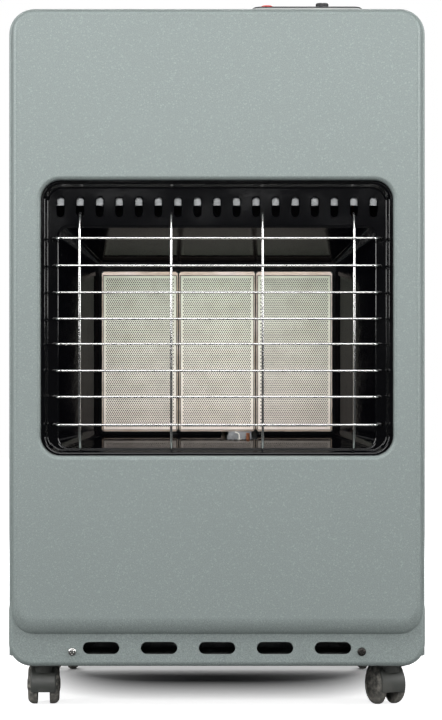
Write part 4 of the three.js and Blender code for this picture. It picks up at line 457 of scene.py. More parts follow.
def linear(red, green, blue):
    """A colour as seen on a screen, 0 to 255, as the light it stands for."""
    shares = [channel / 255 for channel in (red, green, blue)]
    return tuple(s / 12.92 if s <= 0.04045 else ((s + 0.055) / 1.055) ** 2.4 for s in shares)


class Quantity:
    """A socket in a finish's nodes, on which sums can be written as usual."""

    def __init__(self, finish, socket):
        self.finish = finish
        self.socket = socket

    def _sum(self, operation, *terms):
        return self.finish.node("ShaderNodeMath", {"operation": operation}, dict(enumerate(terms)))

    def __add__(self, other):
        return self._sum("ADD", self, other)

    def __radd__(self, other):
        return self._sum("ADD", other, self)

    def __sub__(self, other):
        return self._sum("SUBTRACT", self, other)

    def __rsub__(self, other):
        return self._sum("SUBTRACT", other, self)

    def __mul__(self, other):
        return self._sum("MULTIPLY", self, other)

    def __rmul__(self, other):
        return self._sum("MULTIPLY", other, self)

    def __gt__(self, other):
        return self._sum("GREATER_THAN", self, other)

    def __lt__(self, other):
        return self._sum("LESS_THAN", self, other)


class Finish:
    """One material, built up node by node."""

    def __init__(self, name):
        self.material = bpy.data.materials.new(f"{name}_finish")
        self.material.use_nodes = True
        self.tree = self.material.node_tree
        self.tree.nodes.clear()
        self.place = self.node("ShaderNodeTexCoord", output="Object")

    def node(self, kind, settings=None, sockets=None, output=0):
        """Adds a node, makes its settings, then fills its sockets with values or links."""
        node = self.tree.nodes.new(kind)
        for name, value in (settings or {}).items():
            if name == "stops":
                for stop, (position, colour) in zip(self._stops(node, len(value)), value):
                    stop.position = position
                    stop.color = (*colour, 1)
            else:
                setattr(node, name, value)
        for name, value in (sockets or {}).items():
            if isinstance(value, Quantity):
                self.tree.links.new(value.socket, node.inputs[name])
            else:
                node.inputs[name].default_value = value
        return Quantity(self, node.outputs[output]) if len(node.outputs) else node

    @staticmethod
    def _stops(node, count):
        stops = node.color_ramp.elements
        while len(stops) < count:
            stops.new(1)
        return stops

    def noise(self, scale, detail=2, stretch=None):
        """Soft noise over the piece, with its axes scaled by stretch."""
        place = self.stretched(*stretch) if stretch else self.place
        sockets = {"Vector": place, "Scale": scale, "Detail": detail}
        return self.node("ShaderNodeTexNoise", {}, sockets)

    def crystals(self, scale, place):
        """A plain random colour for each cell."""
        return self.node("ShaderNodeTexVoronoi", {}, {"Vector": place, "Scale": scale}, "Color")

    def stretched(self, x, y, z):
        """The place on the piece with each axis scaled."""
        return self.node("ShaderNodeMapping", {}, {"Vector": self.place, "Scale": (x, y, z)})

    def along(self, axis):
        return self.node("ShaderNodeSeparateXYZ", {}, {"Vector": self.place}, output=axis)

    def ramp(self, value, *stops):
        return self.node("ShaderNodeValToRGB", {"stops": stops}, {"Fac": value})

    def between(self, value, low, high):
        """0 where a value is at low or beyond, 1 where it is at high."""
        sockets = {"Value": value, "From Min": low, "From Max": high}
        return self.node("ShaderNodeMapRange", {"clamp": True}, sockets)

    def patches(self, scale, detail, low, high):
        """Noise as a share from 0 to 1, between two of its levels."""
        return self.between(self.noise(scale, detail), low, high)

    def stained(self, base, stain, share, **patches):
        """A colour with patches of another, at most by a share."""
        return self.mixed(self.patches(**patches) * share, base, stain)

    def mixed(self, share, first, second):
        """A colour between two, by a share from 0 to 1."""
        colours = [c if isinstance(c, Quantity) else (*c, 1) for c in (first, second)]
        sockets = {0: share, 6: colours[0], 7: colours[1]}
        return self.node("ShaderNodeMix", {"data_type": "RGBA"}, sockets, output=2)

    def surface(self, base, rough, relief=None, depth=0.0, strength=0.0, **values):
        """Ends the material in its shader, with further values named as on the shader."""
        sockets = {"Base Color": base, "Roughness": rough}
        sockets.update({name.replace("_", " "): value for name, value in values.items()})
        if relief:
            heights = {"Height": relief, "Distance": depth, "Strength": strength}
            sockets["Normal"] = self.node("ShaderNodeBump", {}, heights)
        shader = self.node("ShaderNodeBsdfPrincipled", {}, sockets)
        self.node("ShaderNodeOutputMaterial", {}, {"Surface": shader})
        return self.material


def scaled(colour, factor):
    return tuple(min(channel * factor, 1) for channel in colour)


def powder_coat():
    """Stoved metallic powder: fine bright and dark grains over a soft ripple."""
    colour = bpy.context.scene.heater_finishes.powder
    dark, light, glint = scaled(colour, 0.80), scaled(colour, 1.13), scaled(colour, 1.7)
    finish = Finish("powder_coat")
    grain = finish.noise(scale=1500, detail=1)
    ripple = finish.noise(scale=420)
    flake = finish.between(finish.crystals(900, finish.place), 0.72, 0.95)
    base = finish.mixed(finish.between(grain, 0.36, 0.66), dark, light)
    base = finish.mixed(flake * 0.35, base, glint)
    base = finish.stained(base, dark, 0.12, scale=9, detail=3, low=0.25, high=0.8)
    rough = 0.50 + (grain - 0.5) * 0.22
    skin = ripple * 0.6 + grain * 0.4
    return finish.surface(base, rough, skin, depth=0.0001, strength=0.35, Metallic=0.18)


def black_enamel():
    """Fired gloss enamel, almost a mirror, with a slight orange peel and a little dust."""
    finish = Finish("black_enamel")
    enamel, dust = bpy.context.scene.heater_finishes.enamel, (0.02, 0.02, 0.022)
    base = finish.stained(enamel, dust, 0.1, scale=2300, detail=2, low=0.62, high=0.8)
    rough = 0.07 + finish.patches(scale=24, detail=3, low=0.4, high=0.8) * 0.06
    peel = finish.noise(scale=160)
    return finish.surface(base, rough, peel, depth=0.0004, strength=0.12, IOR=1.5, Specular_IOR_Level=0.5)


def guard_chrome():
    """Bright plated wire, with fine drawing marks and dull patches."""
    finish = Finish("guard_chrome")
    marks = finish.noise(scale=900, detail=3, stretch=(0.12, 1, 0.12))
    patches = finish.noise(scale=60, detail=3)
    dull = finish.between(patches, 0.4, 0.75)
    base = finish.mixed(dull * 0.4, (0.80, 0.80, 0.79), (0.50, 0.48, 0.45))
    rough = 0.10 + marks * 0.10 + finish.between(patches, 0.5, 0.8) * 0.10
    return finish.surface(base, rough, marks, depth=0.00003, strength=0.12, Metallic=1.0)


def galvanised_sheet():
    """Zinc spangle: flat crystals of many greys with soft joints."""
    finish = Finish("galvanised_sheet")
    tone = finish.between(finish.crystals(95, finish.stretched(1, 1, 1)), 0.0, 1.0)
    greys = linear(110, 112, 113), linear(136, 138, 139), linear(166, 168, 168)
    base = finish.ramp(tone, *zip((0.0, 0.5, 1.0), greys))
    base = finish.stained(base, linear(116, 116, 114), 0.3, scale=40, detail=2, low=0.35, high=0.75)
    scratches = finish.noise(scale=700, detail=2, stretch=(1, 1, 0.1))
    relief = scratches + tone * 0.6
    return finish.surface(base, 0.30 + tone * 0.16, relief, depth=0.00006, strength=0.4, Metallic=0.6)


def plaque_ceramic():
    """Pressed white fibre clay, dusty and stained, with painted shade inside the pin holes."""
    finish = Finish("plaque_ceramic")
    rise = finish.between(finish.along("Z"), PLAQUE_LOW, PLAQUE_TOP)
    tints = linear(250, 238, 228), linear(250, 245, 232), linear(238, 243, 224)
    base = finish.ramp(rise, *zip((0.0, 0.45, 1.0), tints))
    base = finish.stained(base, linear(196, 188, 172), 0.35, scale=60, detail=4, low=0.45, high=0.8)
    speck = finish.noise(scale=1800)
    base = finish.mixed(finish.between(speck, 0.6, 0.8) * 0.3, base, linear(190, 182, 168))
    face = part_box("ceramic_plaque_centre")[0].y
    # painted shade: the clay turns dark just behind the face, inside the pin holes
    sunk = finish.between(finish.along("Y"), face + 0.0001, face + 0.0003)
    base = finish.mixed(sunk, base, linear(30, 26, 22))
    return finish.surface(base, 0.92, speck, depth=0.00008, strength=0.5, Specular_IOR_Level=0.2)


def burner_steel():
    """Aluminised steel that heat has browned towards the plaques."""
    finish = Finish("burner_steel")
    cloud = finish.noise(scale=28, detail=4)
    fine = finish.noise(scale=520, detail=3, stretch=(0.15, 1, 1))
    browns = linear(226, 214, 210), linear(214, 198, 184), linear(176, 154, 134), linear(132, 112, 108)
    base = finish.ramp(cloud, *zip((0.25, 0.5, 0.72, 0.9), browns))
    base = finish.mixed(finish.between(fine, 0.5, 0.8) * 0.3, base, linear(98, 88, 78))
    return finish.surface(base, 0.38 + fine * 0.2, fine, depth=0.00005, strength=0.4, Metallic=0.75)


def drawn_metal(finish, colour, tarnished, dull, streak, metallic=1.0):
    """A turned or drawn metal with fine marks, a tarnish and uneven gloss."""
    marks = finish.noise(scale=800, detail=3, stretch=streak)
    tarnish = finish.patches(scale=70, detail=4, low=0.45, high=0.85)
    base = finish.mixed(tarnish * 0.25, colour, tarnished)
    rough = dull + marks * 0.15 + tarnish * 0.1
    return finish.surface(base, rough, marks, depth=0.00004, strength=0.4, Metallic=metallic)


def cast_aluminium():
    """Die casting with a grainy skin."""
    finish = Finish("cast_aluminium")
    skin = finish.noise(scale=480, detail=4)
    light, dark = linear(168, 170, 172), linear(138, 140, 143)
    base = finish.stained(light, dark, 1, scale=40, detail=3, low=0.3, high=0.75)
    return finish.surface(base, 0.42 + skin * 0.2, skin, depth=0.0002, strength=0.4, Metallic=0.8)


def insulated_lead():
    """Silicone sleeve, dull and slightly mottled."""
    finish = Finish("insulated_lead")
    mottle = finish.noise(scale=300, detail=3)
    base = finish.mixed(mottle, linear(150, 36, 30), linear(112, 26, 24))
    return finish.surface(base, 0.5 + mottle * 0.15, mottle, depth=0.0001, strength=0.3)


def electrode_ceramic():
    """Glazed white insulator."""
    finish = Finish("electrode_ceramic")
    cloud = finish.noise(scale=180, detail=3)
    aged = finish.between(cloud, 0.4, 0.8)
    base = finish.mixed(aged * 0.5, linear(236, 234, 228), linear(205, 196, 180))
    return finish.surface(base, 0.14 + cloud * 0.12, cloud, depth=0.00005, strength=0.3)


def moulded(finish, colour, worn, dull, grain=900, pale_band=None):
    """Moulded plastic with a spark-eroded grain and soft wear, and a pale band over its colour where one is given.
    """
    texture = finish.noise(scale=grain)
    base = finish.stained(colour, worn, 0.35, scale=55, detail=4, low=0.5, high=0.8)
    if pale_band:
        share, band_colour = pale_band
        base = finish.mixed(share, base, band_colour)
    return finish.surface(base, dull + texture * 0.16, texture, depth=0.00012, strength=0.45)


def console_plastic():
    """Black moulding; the console's own rim below its top is pale."""
    finish = Finish("console_plastic")
    low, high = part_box("control_console")
    level = finish.along("Z")
    rim_width, rim_low, rim_high = 0.0045, high.z - 0.0040, high.z - 0.0019
    above = finish.between(level, rim_low, rim_low + 0.0002)
    rim = above - finish.between(level, rim_high, rim_high + 0.0003)
    outside = 0
    for axis, place in (("X", 0), ("Y", 1)):
        across = finish.along(axis) - (low[place] + high[place]) / 2
        outside = (across * across > ((high[place] - low[place]) / 2 - rim_width) ** 2) + outside
    # a pale band painted round the console's sides, below its dark top
    pale_band = (rim * (outside > 0.5), linear(176, 178, 176))
    return moulded(finish, linear(26, 27, 29), linear(52, 54, 56), 0.34, pale_band=pale_band)


def castor_wheel_plastic():
    """Nylon wheels with a scuffed tread, and painted light from the floor on their lower part."""
    finish = Finish("castor_wheel_plastic")
    scuff = finish.noise(scale=240, detail=5, stretch=(1, 0.5, 1))
    # painted light: the lower part of each wheel is made paler, as if lit from the white floor
    painted_floor_light = 1 - finish.between(finish.along("Z"), 0.0, 0.016)
    base = finish.mixed(finish.between(scuff, 0.42, 0.7), linear(76, 76, 73), linear(148, 144, 136))
    base = finish.mixed(painted_floor_light * 0.5, base, linear(176, 172, 164))
    return finish.surface(base, 0.42 + scuff * 0.25, scuff, depth=0.00015, strength=0.5)


METALS = {  # colour, tarnished colour, least roughness, how the drawing marks run
    "brass": (linear(206, 168, 92), linear(122, 88, 42), 0.24, (1, 1, 0.2)),
    "steel_tube": (linear(172, 172, 170), linear(104, 98, 92), 0.26, (1, 1, 0.15)),
    "copper_lead": (linear(198, 128, 92), linear(96, 58, 44), 0.28, (0.2, 1, 1)),
    "dark_screw": (linear(74, 72, 70), linear(38, 34, 32), 0.34, (1, 1, 1), 0.9),
}
PLASTICS = {  # colour, worn colour, least roughness, scale of the grain
    "red_plastic": (linear(206, 26, 22), linear(232, 60, 48), 0.22, 500),
    "castor_plastic": (linear(74, 76, 73), linear(128, 126, 120), 0.34),
}
MADE_ALONE = {
    maker.__name__: maker
    for maker in (
        powder_coat, galvanised_sheet, black_enamel, guard_chrome, plaque_ceramic, burner_steel,
        cast_aluminium, insulated_lead, electrode_ceramic, console_plastic, castor_wheel_plastic,
    )
}


def material_for(finish):
    """The material of a finish, built the first time it is asked for."""
    made = bpy.data.materials.get(f"{finish}_finish")
    if made:
        return made
    if finish in METALS:
        return drawn_metal(Finish(finish), *METALS[finish])
    if finish in PLASTICS:
        return moulded(Finish(finish), *PLASTICS[finish])
    return MADE_ALONE[finish]()


# ---------- sizes and colours ----------


def number(name, description, default, unit="NONE"):
    return bpy.props.FloatProperty(name=name, description=description, default=default, min=0, unit=unit)


def length(name, description, default):
    return number(name, description, default, "LENGTH")


def power(name, description, default):
    return number(name, description, default, "POWER")


def shade(name, description, default):
    return bpy.props.FloatVectorProperty(
        name=name, description=description, default=default, min=0, max=1, size=3, subtype="COLOR"
    )


class HeaterCasing(bpy.types.PropertyGroup):
    sheet: length("Sheet", "Thickness of the cabinet sheet", 0.001)
    edge_round: length("Edge rounding", "Rounding from the raised face to its sides", 0.007)
    corner: length("Panel corner", "Radius of the front panel's corners", 0.023)
    step_top: length("Step top", "Height at which the raised face starts to fall back", 0.095)
    step_bottom: length("Step bottom", "Height at which the raised face meets the lower band", 0.0776)
    band_setback: length("Band setback", "How far the lower band lies behind the raised face", 0.009)
    band_round: length("Band rounding", "Rounding from the lower band to its sides", 0.005)
    fold: length("Fold", "Radius of the casing's folded edges", 0.0025)
    front_flange: length("Front flange", "Width of the casing's flange behind the panel", 0.011)
    rear_flange: length("Rear flange", "Width of the casing's flange behind the rear cover", 0.016)
    casing_corner: length("Casing corner", "Radius of the casing's upper corners", 0.0258)
    slot_length: length("Slot length", "Length of each slot in the lower band", 0.0373)
    slot_height: length("Slot height", "Height of each slot in the lower band", 0.0124)
    slot_pitch: length("Slot pitch", "Distance from slot to slot", 0.0591)
    slot_level: length("Slot level", "Height of the slots above the floor", 0.0630)
    skirt: length("Skirt", "How far the lower band hangs below its base line", 0.0035)
    screw_drop: length("Screw drop", "How far the screws sit below the middle of their tabs", 0.0015)
    window_half_width: length("Window half width", "Half the width of the window in the panel", 0.17975)
    window_low: length("Window bottom", "Height of the window's lower edge", 0.259)
    window_high: length("Window top", "Height of the window's upper edge", 0.540)
    window_corner: length("Window corner", "Radius of the window's corners", 0.020)
    window_round: length("Window rounding", "Radius of the window's rolled edge", 0.004)
    window_lip: length("Window lip", "How far back the rolled edge reaches", 0.012)


class HeaterBurner(bpy.types.PropertyGroup):
    sheet: length("Enamel sheet", "Thickness of the enamelled surround", 0.001)
    step: length("Step", "How far the band lies behind the flange", 0.0042)
    recess: length("Recess", "Depth of the recess behind the band", 0.0452)
    mouth_round: length("Mouth rounding", "Radius of the recess's front edge", 0.0042)
    vent_pitch: length("Vent pitch", "Distance from vent to vent", 0.020)
    vent_level: length("Vent level", "Height of the vents above the floor", 0.5134)
    wire_radius: length("Wire radius", "Radius of the guard wires", 0.00125)
    hole_pitch: length("Hole pitch", "Distance from hole to hole along a row of the plaques", 0.00206)
    row_pitch: length("Row pitch", "Distance from row to row of the plaques", 0.00184)
    hole_radius: length("Hole radius", "Radius of the pin holes in the plaques", 0.00072)


class HeaterFinishes(bpy.types.PropertyGroup):
    powder: shade("Powder coat", "Colour of the casing", linear(146, 156, 154))
    enamel: shade("Enamel", "Colour of the burner surround", (0.0012, 0.0012, 0.0018))


class HeaterStage(bpy.types.PropertyGroup):
    distance: length("Camera distance", "Distance from the camera to the front of the heater", 2.8)
    lens: number("Lens", "Focal length of the camera", 0.138, "CAMERA")
    key: power("Key light", "Power of the large lamp above the front", 8)
    front: power("Front lamp", "Power of the lamp over the camera", 20)
    side: power("Side lights", "Power of each lamp at the side", 13)
    rear: power("Rear lamp", "Power of the lamp behind the heater", 50)
    surroundings: number("Surroundings", "Brightness of the room round the heater", 0.10)
    reflected: number("Reflected room", "Brightness of the room in glossy surfaces", 0.06)
    floor: shade("Floor", "Colour of the floor", (0.86, 0.86, 0.86))


# ---------- casing ----------


class HEATER_OT_front_panel(bpy.types.Operator):
    """Press the front panel with its rolled window, lower step and slots"""

    bl_idname = "heater.front_panel"
    bl_label = "Front Panel"

    def execute(self, context):
        sizes = context.scene.heater_casing
        half_width, top, bottom = PANEL_HIGH.x, PANEL_HIGH.z, PANEL_LOW.z - sizes.skirt
        band_half_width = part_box("casing_wrap")[1].x - sizes.sheet / 2
        band_top = sizes.step_top + 0.03  # inside the raised part
        depth = PANEL_HIGH.y - FACE
        fall = sizes.step_top - sizes.step_bottom
        back = sizes.band_setback + sizes.sheet / 2
        raised = []
        band = []
        for sine, cosine in quarter_turn(ROUND_STEPS):
            edge = sizes.edge_round * (1 - sine)
            raised.append(Outline(
                half_width - edge, sizes.step_top - fall * sine, top - edge, sizes.corner - edge,
                behind(back * (1 - cosine)),
            ))
            edge = sizes.band_round * (1 - sine)
            band.append(Outline(
                band_half_width - edge, bottom + edge, band_top, sizes.corner - edge,
                behind(sizes.band_setback + sizes.band_round * (1 - cosine)),
            ))
        panel = lofted([*raised, raised[-1]._replace(y=behind(depth))])
        unite(panel, lofted([*band, band[-1]._replace(y=behind(depth))]))
        cut(panel, self.window(sizes, depth))
        with editing(panel):
            choose_faces(lambda middle, normal: self.waste(sizes, middle, depth))
            bpy.ops.mesh.delete(type="FACE")
        weld(panel)
        thicken(panel, sizes.sheet)
        cut(panel, *self.slots(sizes), *self.screw_holes(sizes))
        finished(panel, "front_panel_pressing", "powder_coat", "cabinet", "front_panel", angle=28)
        return {"FINISHED"}

    @staticmethod
    def window(sizes, depth):
        edge = Outline(
            sizes.window_half_width, sizes.window_low, sizes.window_high, sizes.window_corner, FACE
        )
        rings = [edge.grown(sizes.window_round, -THROUGH)]
        for sine, cosine in quarter_turn(ROUND_STEPS):
            rings.append(edge.grown(sizes.window_round * (1 - sine), sizes.window_round * (1 - cosine)))
        rings += [edge.grown(0, sizes.window_lip), edge.grown(0, depth + THROUGH)]
        return lofted(rings)

    @staticmethod
    def waste(sizes, middle, depth):
        """The back of the block, and the window's sides past its lip."""
        inside = abs(middle.x) < sizes.window_half_width + HAIR
        level = sizes.window_low - HAIR < middle.z < sizes.window_high + HAIR
        past_lip = inside and level and middle.y > behind(sizes.window_lip) + HAIR
        return past_lip or middle.y > behind(depth) - HAIR

    @staticmethod
    def slots(sizes):
        half_height = sizes.slot_height / 2
        slot = plug(Outline(
            sizes.slot_length / 2, sizes.slot_level - half_height, sizes.slot_level + half_height,
            half_height * NEARLY, behind(sizes.band_setback), -2 * sizes.slot_pitch,
        ), 3 * sizes.sheet)
        return row_of(slot, 5, sizes.slot_pitch)

    @staticmethod
    def screw_holes(sizes):
        radius, depth = 0.0021, 0.006
        low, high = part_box("front_screw_right")
        level = (low.z + high.z) / 2 - sizes.screw_drop
        middle = ((low.x + high.x) / 2, behind(sizes.band_setback), level)
        hole = drum(middle, radius, depth, "Y", 24)
        return [hole, shift(copy_of(hole), -2 * middle[0])]


class HEATER_OT_casing(bpy.types.Operator):
    """Fold the casing over the sides and the top"""

    bl_idname = "heater.casing"
    bl_label = "Casing"

    def execute(self, context):
        low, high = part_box("casing_wrap")
        sizes = context.scene.heater_casing
        fold, length_back = sizes.fold, high.y - low.y
        outside = Outline(high.x, low.z - PAST_FLOOR, high.z, sizes.casing_corner, low.y)
        rings = [outside.grown(-sizes.front_flange)]
        rings += [
            outside.grown(-fold * (1 - sine), fold * (1 - cosine))
            for sine, cosine in quarter_turn(FOLD_STEPS)
        ]
        rings += [
            outside.grown(-fold * (1 - cosine), length_back - fold * (1 - sine))
            for sine, cosine in quarter_turn(FOLD_STEPS)
        ]
        rings.append(outside.grown(-sizes.rear_flange, length_back))
        casing = sides_outwards(walls(rings))
        kept_side(casing, (0, 0, low.z), (0, 0, 1))
        thicken(casing, sizes.sheet)
        cut(casing, self.console_opening(high.z), *self.hook_slots(high.y))
        finished(casing, "casing_folded_sheet", "powder_coat", "cabinet", "casing_wrap")
        return {"FINISHED"}

    @staticmethod
    def console_opening(top):
        low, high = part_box("control_console")
        overlap, reach = 0.005, 0.01
        return box(
            (low.x + overlap, low.y + overlap, top - reach),
            (high.x - overlap, high.y - overlap, top + reach),
        )

    @staticmethod
    def hook_slots(rear):
        half_width, drop, rise, depth = 0.0044, 0.0045, 0.0012, 0.004
        return [
            box((x - half_width, rear - depth, z - drop), (x + half_width, rear + THROUGH, z + rise))
            for x, z in HOOKS
        ]


def sides_outwards(piece):
    """Turns an open shell so that its left and right sides face outwards."""
    face_outwards(piece)
    sides = [face for face in piece.data.polygons if abs(face.normal.x) > 0.9]
    if sum(math.copysign(1, face.normal.x * face.center[0]) for face in sides) < 0:
        with editing(piece, "FACE", "ALL"):
            bpy.ops.mesh.flip_normals()
    return piece


class HEATER_OT_rear_cover(bpy.types.Operator):
    """Press the lift-off cover of the cylinder compartment"""

    bl_idname = "heater.rear_cover"
    bl_label = "Rear Cover"

    def execute(self, context):
        low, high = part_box("rear_cover")
        flange, taper, bend, corner, flange_round = 0.011, 0.007, 0.012, 0.018, 0.0018
        fit = 0.0003
        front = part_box("casing_wrap")[1].y + fit
        rim = Outline(high.x - flange, low.z - PAST_FLOOR, high.z - flange, corner, front)
        narrow = rim.grown(-taper)._replace(corner=corner)
        depth = high.y - front
        rings = [rim.grown(flange), rim]
        rings += [
            narrow.grown(-bend * (1 - cosine), depth - bend * (1 - sine))
            for sine, cosine in quarter_turn(ROUND_STEPS)
        ]
        cover = walls(rings)
        fill(cover, rings[-1])
        sides_outwards(cover)
        bevelled(cover, rim.holds, flange_round, 4)
        kept_side(cover, (0, 0, low.z), (0, 0, 1))
        thicken(cover, context.scene.heater_casing.sheet)
        cut(cover, *self.louvres(high.y))
        unite(cover, *self.hooks(front))
        finished(cover, "rear_cover_pressing", "powder_coat", "rear_cover", "rear_cover")
        return {"FINISHED"}

    @staticmethod
    def louvres(rear):
        """Two rows of slots that let air past the cylinder."""
        half_length, half_height, corner = 0.018, 0.0035, 0.00349
        pitch, count, ahead, depth = 0.052, 6, 0.002, 0.004
        first = -(count - 1) * pitch / 2
        slots = []
        for level in (0.100, 0.652):
            slot = plug(Outline(
                half_length, level - half_height, level + half_height, corner, rear - ahead, first
            ), depth)
            slots += row_of(slot, count, pitch)
        return slots

    @staticmethod
    def hooks(front):
        """Flat tabs that slope down and forward into the slots of the casing."""
        half_width, reach, root, half_thickness = 0.004, 0.015, 0.0007, 0.00075
        tab = box((-half_width, -reach, -half_thickness), (half_width, root, half_thickness))
        tilted(tab, math.pi / 4, "X")
        tabs = [shift(copy_of(tab), x, front, z) for x, z in HOOKS]
        bpy.data.objects.remove(tab)
        return tabs


# ---------- burner ----------


class HEATER_OT_surround(bpy.types.Operator):
    """Press the enamelled surround with its flared vents and the recess round the plaques"""

    bl_idname = "heater.surround"
    bl_label = "Burner Surround"

    vent_half_height = 0.0099
    collar = 0.0034  # how far back a vent's collar reaches

    def execute(self, context):
        sizes = context.scene.heater_burner
        flange_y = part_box("burner_surround")[0].y
        band_y = flange_y + sizes.step
        recess_y = band_y + sizes.recess
        gap, under, over = 0.0004, 0.0013, 0.0038  # round the burners' rims
        burner_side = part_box("burner_body_right")[1].x
        outer_flange = Outline(0.18725, 0.2515, 0.5475, 0.026, flange_y)
        inner_flange = Outline(0.1765, 0.262, 0.537, 0.018, flange_y)
        band = Outline(0.1725, 0.2643, 0.533, 0.015, band_y)
        mouth = Outline(0.1629, 0.2665, 0.4926, 0.011, band_y)
        floor = Outline(0.123, 0.2795, 0.458, 0.0055, recess_y)
        opening = Outline(
            burner_side + gap, PLAQUE_LOW - under - gap, PLAQUE_TOP + over + gap, 0.001, recess_y
        )
        body = walls([outer_flange, inner_flange, band, mouth, floor, opening])
        rear_y = recess_y + 0.01
        outer_back, inner_back = outer_flange._replace(y=rear_y), opening._replace(y=rear_y)
        sides = (outer_flange, outer_back), (opening, inner_back), (outer_back, inner_back)
        body = face_outwards(weld(join(body, *(walls(pair) for pair in sides))))
        cut(body, *self.vents(sizes, band_y, rear_y))
        with editing(body):
            choose_faces(
                lambda middle, normal: self.waste(sizes, middle, band_y, recess_y, outer_flange)
            )
            bpy.ops.mesh.delete(type="FACE")
        weld(body)
        step_round = 0.0012
        for ring, width, steps in (
            (inner_flange, step_round, 3), (band, step_round, 3), (mouth, sizes.mouth_round, 6)
        ):
            bevelled(body, ring.holds, width, steps, clamped=True)
        thicken(body, sizes.sheet)
        cut(body, *self.openings(sizes, band_y, recess_y))
        finished(body, "burner_surround_enamelled", "black_enamel", "cabinet", "burner_surround", angle=40)
        return {"FINISHED"}

    def vents(self, sizes, band_y, rear_y):
        half_width, flare, depth, count = 0.0035, 0.0021, 0.0024, 17
        low, high = sizes.vent_level - self.vent_half_height, sizes.vent_level + self.vent_half_height
        first = -(count // 2) * sizes.vent_pitch
        vent = Outline(half_width, low, high, half_width * NEARLY, band_y, first)
        rings = [vent.grown(flare, -THROUGH)]
        rings += [
            vent.grown(flare * (1 - sine), depth * (1 - cosine))
            for sine, cosine in list(quarter_turn(FOLD_STEPS))[1:]
        ]
        rings += [vent.grown(0, self.collar), vent._replace(y=rear_y + THROUGH)]
        return row_of(lofted(rings, VENT_STEPS), count, sizes.vent_pitch)

    def waste(self, sizes, middle, band_y, recess_y, rim):
        """The back and sides of the block, and what a vent cuts behind its own collar."""
        row_half_width, margin = 0.17, 0.0066
        in_row = abs(middle.x) < row_half_width
        in_vents = in_row and abs(middle.z - sizes.vent_level) < self.vent_half_height + margin
        behind_collar = in_vents and middle.y > band_y + self.collar + HAIR
        outside = rim.distance(middle) > -HAIR and middle.y > rim.y + HAIR
        return middle.y > recess_y + HAIR or behind_collar or outside

    @staticmethod
    def openings(sizes, band_y, recess_y):
        """The notch for the pilot and the holes that the guard hooks into."""
        notch = box((0.0044, band_y + 0.028, 0.262), (0.0416, recess_y + 0.003, PLAQUE_LOW - 0.0008))
        radius, x, depth = sizes.wire_radius + 0.0006, GUARD_REACH + 0.0006, 0.008
        return [notch] + [
            drum((side * x, band_y, level), radius, depth, "Y", 20)
            for side in (-1, 1)
            for level in (GUARD_LEVELS[0], GUARD_LEVELS[-1])
        ]


class HEATER_OT_guard(bpy.types.Operator):
    """Bend and weld the wire guard"""

    bl_idname = "heater.guard"
    bl_label = "Wire Guard"

    def execute(self, context):
        sizes = context.scene.heater_burner
        radius = sizes.wire_radius
        band_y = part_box("burner_surround")[0].y + sizes.step
        cross_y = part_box("guard_grille")[0].y + radius
        upright_y = cross_y + 2 * radius - WELD_DEPTH
        in_hole, on_band = band_y + 0.004, band_y - 0.0003
        bend, knee = 0.006, 0.16118
        pieces = []
        for level in GUARD_LEVELS:
            end = in_hole if level in (GUARD_LEVELS[0], GUARD_LEVELS[-1]) else on_band
            half = [(knee, cross_y), (GUARD_REACH, band_y - bend), (GUARD_REACH, end)]
            corners = [(-x, y, level) for x, y in reversed(half)] + [(x, y, level) for x, y in half]
            pieces.append(wire(corners, radius, bend))
        foot, low_knee, high_knee, head = 0.26585, 0.284, 0.490, 0.5065
        for x in GUARD_UPRIGHTS:
            off_vent = abs(x - sizes.vent_pitch * round(x / sizes.vent_pitch))
            top = in_hole if off_vent < VENT_SLACK else on_band
            pieces.append(wire([
                (x, on_band, foot), (x, band_y - bend, foot), (x, upright_y, low_knee),
                (x, upright_y, high_knee), (x, band_y - bend, head), (x, top, head),
            ], radius, bend))
        guard = join(*pieces)
        finished(guard, "guard_wires", "guard_chrome", "cabinet", "guard_grille", angle=60, weighted=False)
        return {"FINISHED"}


